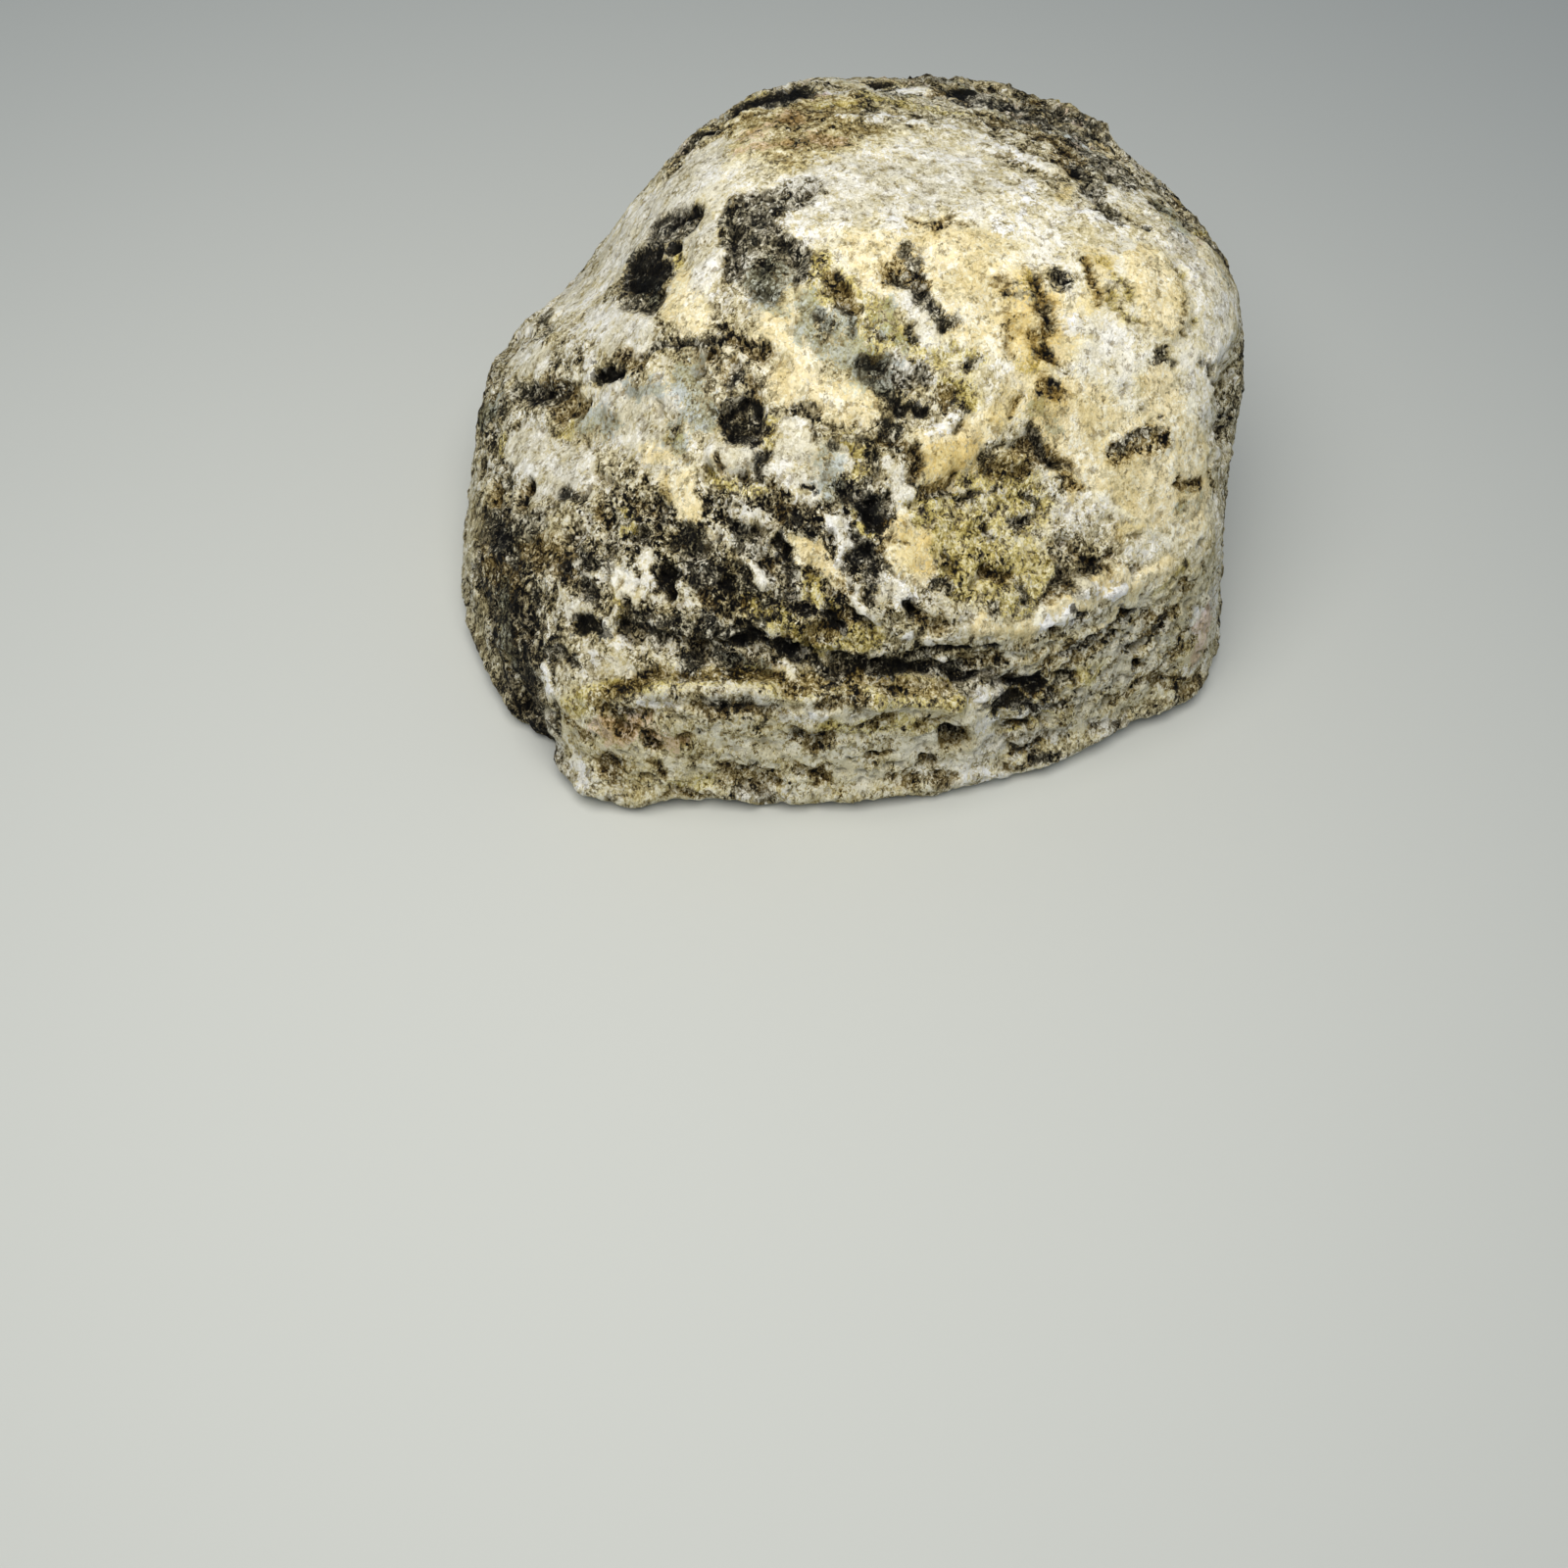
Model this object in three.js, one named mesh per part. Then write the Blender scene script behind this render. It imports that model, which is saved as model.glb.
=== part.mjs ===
// A natural agate nodule: a cobble with broad worn faces, low swells and hollows,
// sawn flat underneath so that it rests on the cut. Millimetres, +Z up. The origin is
// the middle of the sawn face's outline box, with +X along the stone's longest side.

import * as THREE from "three";

// The heart is the point that every face, swell and hollow is measured from.
const HEART_HEIGHT = 14;
const EDGE_SHARPNESS = 12;

// The rind is a net of courses from the summit to the cut, crossed by meridians.
const MERIDIANS = 92;
const COURSES = 42;

// The edge of the saw cut is looked for between level and this tilt from straight up.
const CUT_SEARCH_STEPS = 40;
const LOWEST_TILT = THREE.MathUtils.degToRad(170);

// Each broad face: the bearing its outward normal points to (0 along +X, 90 along +Y),
// the lift of that normal above level, both in degrees, and its reach from the heart.
const FACES = [
  { name: "front wall", bearing: 281, lift: 5, reach: 37.5 },
  { name: "right front wall", bearing: 307, lift: 8, reach: 37.8 },
  { name: "right wall", bearing: 357, lift: 10, reach: 41.5 },
  { name: "right back wall", bearing: 34, lift: 9, reach: 47 },
  { name: "back wall", bearing: 92, lift: 5, reach: 41.5 },
  { name: "left back wall", bearing: 132, lift: 15, reach: 38 },
  { name: "left wall", bearing: 183, lift: 4, reach: 45.5 },
  { name: "left front wall", bearing: 220, lift: -4, reach: 48.5 },
  { name: "front slope", bearing: 282, lift: 45, reach: 32.5 },
  { name: "middle slope", bearing: 248, lift: 50, reach: 34 },
  { name: "left front slope", bearing: 209, lift: 38, reach: 37 },
  { name: "right front slope", bearing: 305, lift: 37, reach: 36.5 },
  { name: "crown", bearing: 275, lift: 86, reach: 34.8 },
  { name: "rear crown", bearing: 78, lift: 74, reach: 36.2 },
  { name: "left shoulder", bearing: 178, lift: 44, reach: 35.4 },
  { name: "right shoulder", bearing: 34, lift: 50, reach: 43 },
];

// Swells (rise above zero) and hollows (below zero), each along a line from one
// direction to another. Directions are [bearing, lift] in degrees from the heart.
const SWELLS = [
  { name: "front lip, left", from: [235, -1], to: [249, 4], width: 4, rise: 1 },
  { name: "front lip, middle", from: [249, 4], to: [268, 4], width: 4, rise: 1 },
  { name: "front lip, right", from: [268, 4], to: [292, 0], width: 4, rise: 1 },
  { name: "groove over the lip, left", from: [239, 6], to: [255, 9], width: 4, rise: -1.9 },
  { name: "groove over the lip, right", from: [256, 9], to: [290, 6], width: 4, rise: -1.9 },
  { name: "pale hollow", from: [204, 22], to: [214, 28], width: 9, rise: -1.5 },
  { name: "left knob", from: [176, 7], to: [184, 13], width: 8, rise: 1.2 },
  { name: "ledge", from: [186, 22], to: [206, 38], width: 6, rise: 0.7 },
  { name: "shoulder hollow", from: [160, 18], to: [172, 30], width: 10, rise: -1.6 },
  { name: "scar", from: [184, 47], to: [190, 50], width: 6, rise: -0.8 },
  { name: "right ridge, near", from: [273, 21], to: [294, 15], width: 5, rise: 0.9 },
  { name: "right ridge, middle", from: [294, 15], to: [311, 14], width: 5, rise: 0.9 },
  { name: "right ridge, far", from: [311, 14], to: [340, 10], width: 5, rise: 0.9 },
  { name: "round hollow", from: [300, 36], to: [306, 33], width: 11, rise: -1.4 },
  { name: "pitted recess", from: [235, 20], to: [258, 22], width: 10, rise: -1.0 },
  { name: "right waist", from: [347, 24], to: [350, 6], width: 9, rise: -1.5 },
  { name: "chip at the cut, front", from: [246, -18], to: [252, -17], width: 4, rise: -1 },
  { name: "chip at the cut, right", from: [321, -20], to: [328, -18], width: 4, rise: -1.2 },
  { name: "left front corner", from: [240, -20], to: [243, -10], width: 6, rise: 0.9 },
  { name: "right front corner", from: [332, -18], to: [335, -8], width: 6, rise: 1.2 },
  { name: "rim step, left", from: [118, 49], to: [92, 45], width: 7, rise: -1.3 },
  { name: "rim step, right", from: [92, 45], to: [52, 44], width: 7, rise: -1.1 },
  { name: "rear swell", from: [58, 4], to: [72, 20], width: 13, rise: 1.4 },
  { name: "rear hollow", from: [104, 22], to: [116, 2], width: 11, rise: -1.5 },
  { name: "rear knob", from: [138, -2], to: [142, 10], width: 10, rise: 1.3 },
  { name: "right rear hollow", from: [20, 8], to: [28, -6], width: 9, rise: -1.2 },
];

const { degToRad } = THREE.MathUtils;

// Unit vector at a bearing round the Z axis and a lift above level, in radians.
function wayTo(turn, lift) {
  const level = Math.cos(lift);
  return new THREE.Vector3(level * Math.cos(turn), level * Math.sin(turn), Math.sin(lift));
}

function wayInDegrees([bearing, lift]) {
  return wayTo(degToRad(bearing), degToRad(lift));
}

const faceWays = FACES.map(({ bearing, lift, reach }) => ({
  normal: wayInDegrees([bearing, lift]),
  reach,
}));

const swellLines = SWELLS.map(({ from, to, width, rise }) => ({
  line: new THREE.Line3(wayInDegrees(from), wayInDegrees(to)),
  width: degToRad(width),
  rise,
}));

// Distance from the heart to the rounded meeting of all the broad faces.
function facedReach(way) {
  let crowding = 0;
  for (const { normal, reach } of faceWays) {
    const share = normal.dot(way) / reach;
    if (share > 0) {
      crowding += share ** EDGE_SHARPNESS;
    }
  }
  return crowding ** (-1 / EDGE_SHARPNESS);
}

// Sum of the swells and hollows, each fading away from its own line.
function swellRise(way) {
  const nearest = new THREE.Vector3();
  let total = 0;
  for (const { line, width, rise } of swellLines) {
    line.closestPointToPoint(way, true, nearest);
    total += rise * Math.exp(-((nearest.distanceTo(way) / width) ** 2));
  }
  return total;
}

// Point on the rind at a bearing and a tilt down from straight up, in radians.
function rindPoint(turn, tilt) {
  const way = wayTo(turn, Math.PI / 2 - tilt);
  const point = way.clone().multiplyScalar(facedReach(way) + swellRise(way));
  point.z += HEART_HEIGHT;
  return point;
}

// Tilt at which the rind meets the saw cut on one bearing, found by halving.
function tiltAtCut(turn) {
  let over = Math.PI / 2;
  let under = LOWEST_TILT;
  for (let step = 0; step < CUT_SEARCH_STEPS; step += 1) {
    const middle = (over + under) / 2;
    if (rindPoint(turn, middle).z > 0) {
      over = middle;
    } else {
      under = middle;
    }
  }
  return (over + under) / 2;
}

// Rings of points, from just under the summit down to the edge of the saw cut.
function rindCourses() {
  const turns = Array.from({ length: MERIDIANS }, (_, i) => (i * 2 * Math.PI) / MERIDIANS);
  const cutTilts = turns.map(tiltAtCut);
  const courses = [];
  for (let course = 1; course <= COURSES; course += 1) {
    courses.push(turns.map((turn, i) => rindPoint(turn, (cutTilts[i] * course) / COURSES)));
  }
  for (const point of courses.at(-1)) {
    point.z = 0;
  }
  return courses;
}

// Corner numbers of the rind's triangles: point 0 is the summit, then ring after ring.
function rindTriangles(cornerAt) {
  const triangles = [];
  for (let i = 0; i < MERIDIANS; i += 1) {
    triangles.push(0, cornerAt(0, i), cornerAt(0, i + 1));
    for (let course = 0; course < COURSES - 1; course += 1) {
      const high = [cornerAt(course, i), cornerAt(course, i + 1)];
      const low = [cornerAt(course + 1, i), cornerAt(course + 1, i + 1)];
      triangles.push(high[0], low[0], low[1]);
      triangles.push(high[0], low[1], high[1]);
    }
  }
  return triangles;
}

// Corner numbers of the flat sawn face inside the last ring, facing down.
function cutTriangles(ring, cornerAt) {
  const outline = ring.map(({ x, y }) => new THREE.Vector2(x, y));
  const corners = THREE.ShapeUtils.triangulateShape(outline, []);
  return corners.flatMap(([a, b, c]) => [a, c, b].map((i) => cornerAt(COURSES - 1, i)));
}

function stoneGeometry() {
  const courses = rindCourses();
  const cornerAt = (course, i) => 1 + course * MERIDIANS + (i % MERIDIANS);
  const geometry = new THREE.BufferGeometry();
  geometry.setFromPoints([rindPoint(0, 0), ...courses.flat()]);
  geometry.setIndex([...rindTriangles(cornerAt), ...cutTriangles(courses.at(-1), cornerAt)]);
  geometry.computeBoundingBox();
  const middle = geometry.boundingBox.getCenter(new THREE.Vector3());
  geometry.translate(-middle.x, -middle.y, 0);
  geometry.computeVertexNormals();
  return geometry;
}

const rind = new THREE.MeshStandardMaterial({
  color: "#a9a17c",
  roughness: 0.92,
  metalness: 0,
});

const nodule = new THREE.Mesh(stoneGeometry(), rind);
nodule.name = "nodule";

const part = new THREE.Group();
part.add(nodule);

export default part;
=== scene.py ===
"""A natural agate nodule resting on its sawn face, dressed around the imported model.

The stone is one piece: a cobble with a rough, crusted and pitted rind, cut flat
underneath, where the cut is polished and shows the bands of the agate. Lengths are in
millimetres while the stone is worked out, and in metres in every mesh, light and camera.
A place on the stone is a direction from its heart: a bearing round the upright axis (0
along +X, 90 along +Y) and a lift above level, both in degrees.
"""

import itertools
import logging
import math
from dataclasses import dataclass, field
from enum import Enum, IntEnum
from typing import Sequence

import bpy
import numpy as np
from mathutils import Matrix, Vector
from mathutils.bvhtree import BVHTree
from mathutils.kdtree import KDTree


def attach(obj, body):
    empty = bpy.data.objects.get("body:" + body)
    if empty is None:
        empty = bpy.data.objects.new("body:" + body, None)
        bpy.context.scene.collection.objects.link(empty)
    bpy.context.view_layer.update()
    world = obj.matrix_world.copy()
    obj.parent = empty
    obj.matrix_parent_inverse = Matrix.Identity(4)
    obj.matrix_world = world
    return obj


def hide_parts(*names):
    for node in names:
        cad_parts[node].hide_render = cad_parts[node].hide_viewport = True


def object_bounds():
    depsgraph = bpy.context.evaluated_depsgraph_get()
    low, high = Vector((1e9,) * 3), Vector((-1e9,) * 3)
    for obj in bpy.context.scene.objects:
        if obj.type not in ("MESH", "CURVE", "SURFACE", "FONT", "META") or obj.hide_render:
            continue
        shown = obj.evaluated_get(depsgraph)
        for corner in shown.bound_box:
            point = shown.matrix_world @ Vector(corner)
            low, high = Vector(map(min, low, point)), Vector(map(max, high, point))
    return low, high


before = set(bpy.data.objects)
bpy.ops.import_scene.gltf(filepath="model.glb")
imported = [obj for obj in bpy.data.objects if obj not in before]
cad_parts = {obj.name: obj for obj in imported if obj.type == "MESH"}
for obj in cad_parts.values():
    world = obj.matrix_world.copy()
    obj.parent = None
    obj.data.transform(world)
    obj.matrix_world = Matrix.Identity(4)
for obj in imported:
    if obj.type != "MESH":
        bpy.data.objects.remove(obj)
CAD_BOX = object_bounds()

LOG = logging.getLogger("nodule")
MM = 0.001
NODE = "nodule"
BODY = "root"

# The usual spread of plain noise of one layer, and the spread that it is drawn out to.
ONE_LAYER_SPREAD = 0.125
WANTED_SPREAD = 0.2

# How strongly a tone holds far outside its marks and well inside them. It is 0 on the edge.
FAR = -2.2
NEAR = 0.55

Colour = tuple[int, int, int]
Place = tuple[float, float]


class Seed(IntEnum):
    """What each stream of random numbers is for. A seed gives the same stone every time."""

    PITS = 5
    WARP = 11
    COVER = 21
    CRUMBS = 22
    ROUGHNESS = 23
    SWELLS = 31
    LUMPS = 32
    RIDGES = 33
    CHIPS = 34
    SCATTER = 41
    MOTTLE = 61


def linear(colour: Colour) -> tuple[float, float, float, float]:
    """Turns an 8-bit screen colour into a shader colour.

    Args:
        colour: red, green and blue from 0 to 255.

    Returns:
        The same colour as linear red, green, blue and an alpha of 1.
    """
    parts = [part / 255 for part in colour]
    lit = [p / 12.92 if p <= 0.04045 else ((p + 0.055) / 1.055) ** 2.4 for p in parts]
    return (lit[0], lit[1], lit[2], 1.0)


def way_to(place: Place) -> np.ndarray:
    """Gives the unit direction of a place on the stone.

    Args:
        place: bearing and lift in degrees.

    Returns:
        The direction as three numbers.
    """
    bearing, lift = np.radians(place)
    level = np.cos(lift)
    return np.array([level * np.cos(bearing), level * np.sin(bearing), np.sin(lift)])


def eased(values: np.ndarray, low: float, high: float) -> np.ndarray:
    """Rises smoothly from 0 at one value to 1 at another.

    Args:
        values: the numbers to ease.
        low: the value that gives 0.
        high: the value that gives 1.

    Returns:
        Numbers from 0 to 1.
    """
    part = np.clip((values - low) / (high - low), 0.0, 1.0)
    return part * part * (3 - 2 * part)


class GradientNoise:
    """Smooth three-dimensional noise, the same on every run for one seed."""

    TABLE = 256
    GAIN = 1.6
    LAYER_SHIFT = 17.3

    def __init__(self, seed: int) -> None:
        """Draws the noise's own table of directions.

        Args:
            seed: the number that fixes the table.
        """
        rng = np.random.default_rng(int(seed))
        self.order = rng.permutation(self.TABLE)
        ways = rng.normal(size=(self.TABLE, 3))
        self.ways = ways / np.linalg.norm(ways, axis=1, keepdims=True)

    def at(self, points: np.ndarray, grain: float) -> np.ndarray:
        """Samples the noise.

        Args:
            points: rows of x, y and z.
            grain: the size of one swell of the noise.

        Returns:
            One number for each point, mostly from -1 to 1.
        """
        scaled = points / grain
        cell = np.floor(scaled).astype(int)
        part = scaled - cell
        ease = part**3 * (part * (part * 6 - 15) + 10)
        total = np.zeros(len(points))
        for corner in itertools.product((0, 1), repeat=3):
            step = np.array(corner)
            key = np.zeros(len(points), dtype=int)
            for axis in range(3):
                key = self.order[(key + cell[:, axis] + step[axis]) % self.TABLE]
            slope = np.einsum("ij,ij->i", self.ways[key], part - step)
            share = np.prod(np.where(step == 1, ease, 1 - ease), axis=1)
            total += share * slope
        return total * self.GAIN

    def layered(
        self, points: np.ndarray, grain: float, layers: int, fade: float = 0.5
    ) -> np.ndarray:
        """Adds finer and finer layers of the noise.

        Args:
            points: rows of x, y and z.
            grain: the size of the coarsest swell.
            layers: how many layers there are.
            fade: how strong each layer is beside the one before it.

        Returns:
            One number for each point, mostly from -1 to 1.
        """
        total = np.zeros(len(points))
        weight = 1.0
        for layer in range(layers):
            shifted = points + self.LAYER_SHIFT * layer
            total += weight * self.at(shifted, grain / 2**layer)
            weight *= fade
        return total


class Tone(Enum):
    """The crust's cover and the colours that lie on it, each one field over the stone."""

    COVER = "cover"
    CHALK = "chalk"
    TAN = "tan"
    SLATE = "slate"
    OLIVE = "olive"
    CREAM = "cream"
    GREY = "grey"
    DARK = "dark"
    BLACK = "black"
    BROWN = "brown"
    BLUE = "blue"
    RUST = "rust"
    PINK = "pink"
    WHITE = "white"
    PALE = "pale"


@dataclass(frozen=True)
class Mark:
    """Something to be seen on the rind, drawn as a line between two places.

    Its width reaches from the line to the edge, in millimetres. Its tone colours it, and its
    rise lifts it, or sinks it when below zero. Without a rise of its own it takes its tone's.
    Without a tone it is only a shape. A steepness of 1 gives round sides and more gives steep
    sides. An even mark keeps its line, and the others wander with the grain of the stone.
    """

    tone: Tone | None
    start: Place
    end: Place
    width: float
    rise: float | None = None
    steepness: float = 1.0
    even: bool = False


@dataclass(frozen=True)
class Region:
    """A broad stretch of the rind: how much crust covers it and how rough it is.

    Its width is in millimetres, and its start and end are places on the stone.
    """

    start: Place
    end: Place
    width: float
    cover: float
    roughness: float


REGIONS = {
    "crown": Region((205, 76), (20, 74), 17, 0.92, 0.4),
    "rear of the crown": Region((150, 57), (80, 60), 4.5, 0.25, 0.8),
    "right of the crown": Region((60, 55), (5, 60), 4.5, 0.35, 0.9),
    "left of the crown": Region((152, 60), (118, 66), 6, -0.12, 0.7),
    "shoulder": Region((166, 26), (166, 54), 9, 1.0, 0.3),
    "cream flank": Region((330, 62), (345, 40), 12, 0.92, 0.3),
    "lower flank": Region((318, 42), (332, 20), 8, 1.05, 0.45),
    "ledge": Region((190, 38), (222, 50), 6, 0.3, 0.9),
    "middle": Region((255, 44), (272, 36), 6, 0.05, 1.0),
    "recess": Region((232, 20), (268, 20), 8, -0.25, 1.45),
    "left waist": Region((196, 18), (215, 22), 6, 0.2, 0.9),
    "pale hollow": Region((210, 30), (228, 34), 6, 0.6, 0.6),
    "groove": Region((238, 9), (286, 8), 2.4, -0.5, 1.1),
    "olive patch": Region((289, 24), (302, 36), 7, 0.95, 1.1),
    "right corner": Region((304, 0), (330, -3), 8, 1.4, 1.5),
    "left corner": Region((217, 1), (229, -8), 7, -0.8, 1.2),
    "front wall": Region((240, -6), (290, -8), 9, 0.8, 0.9),
    "right of the wall": Region((270, -5), (290, -8), 6, 1.25, 0.9),
    "back rim": Region((150, 47), (45, 42), 4, 0.0, 1.0),
}

BLACK, DARK, BROWN, OLIVE, TAN = Tone.BLACK, Tone.DARK, Tone.BROWN, Tone.OLIVE, Tone.TAN
CHALK, CREAM, WHITE, GREY = Tone.CHALK, Tone.CREAM, Tone.WHITE, Tone.GREY
SLATE, BLUE, RUST, PINK, PALE = Tone.SLATE, Tone.BLUE, Tone.RUST, Tone.PINK, Tone.PALE

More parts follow.
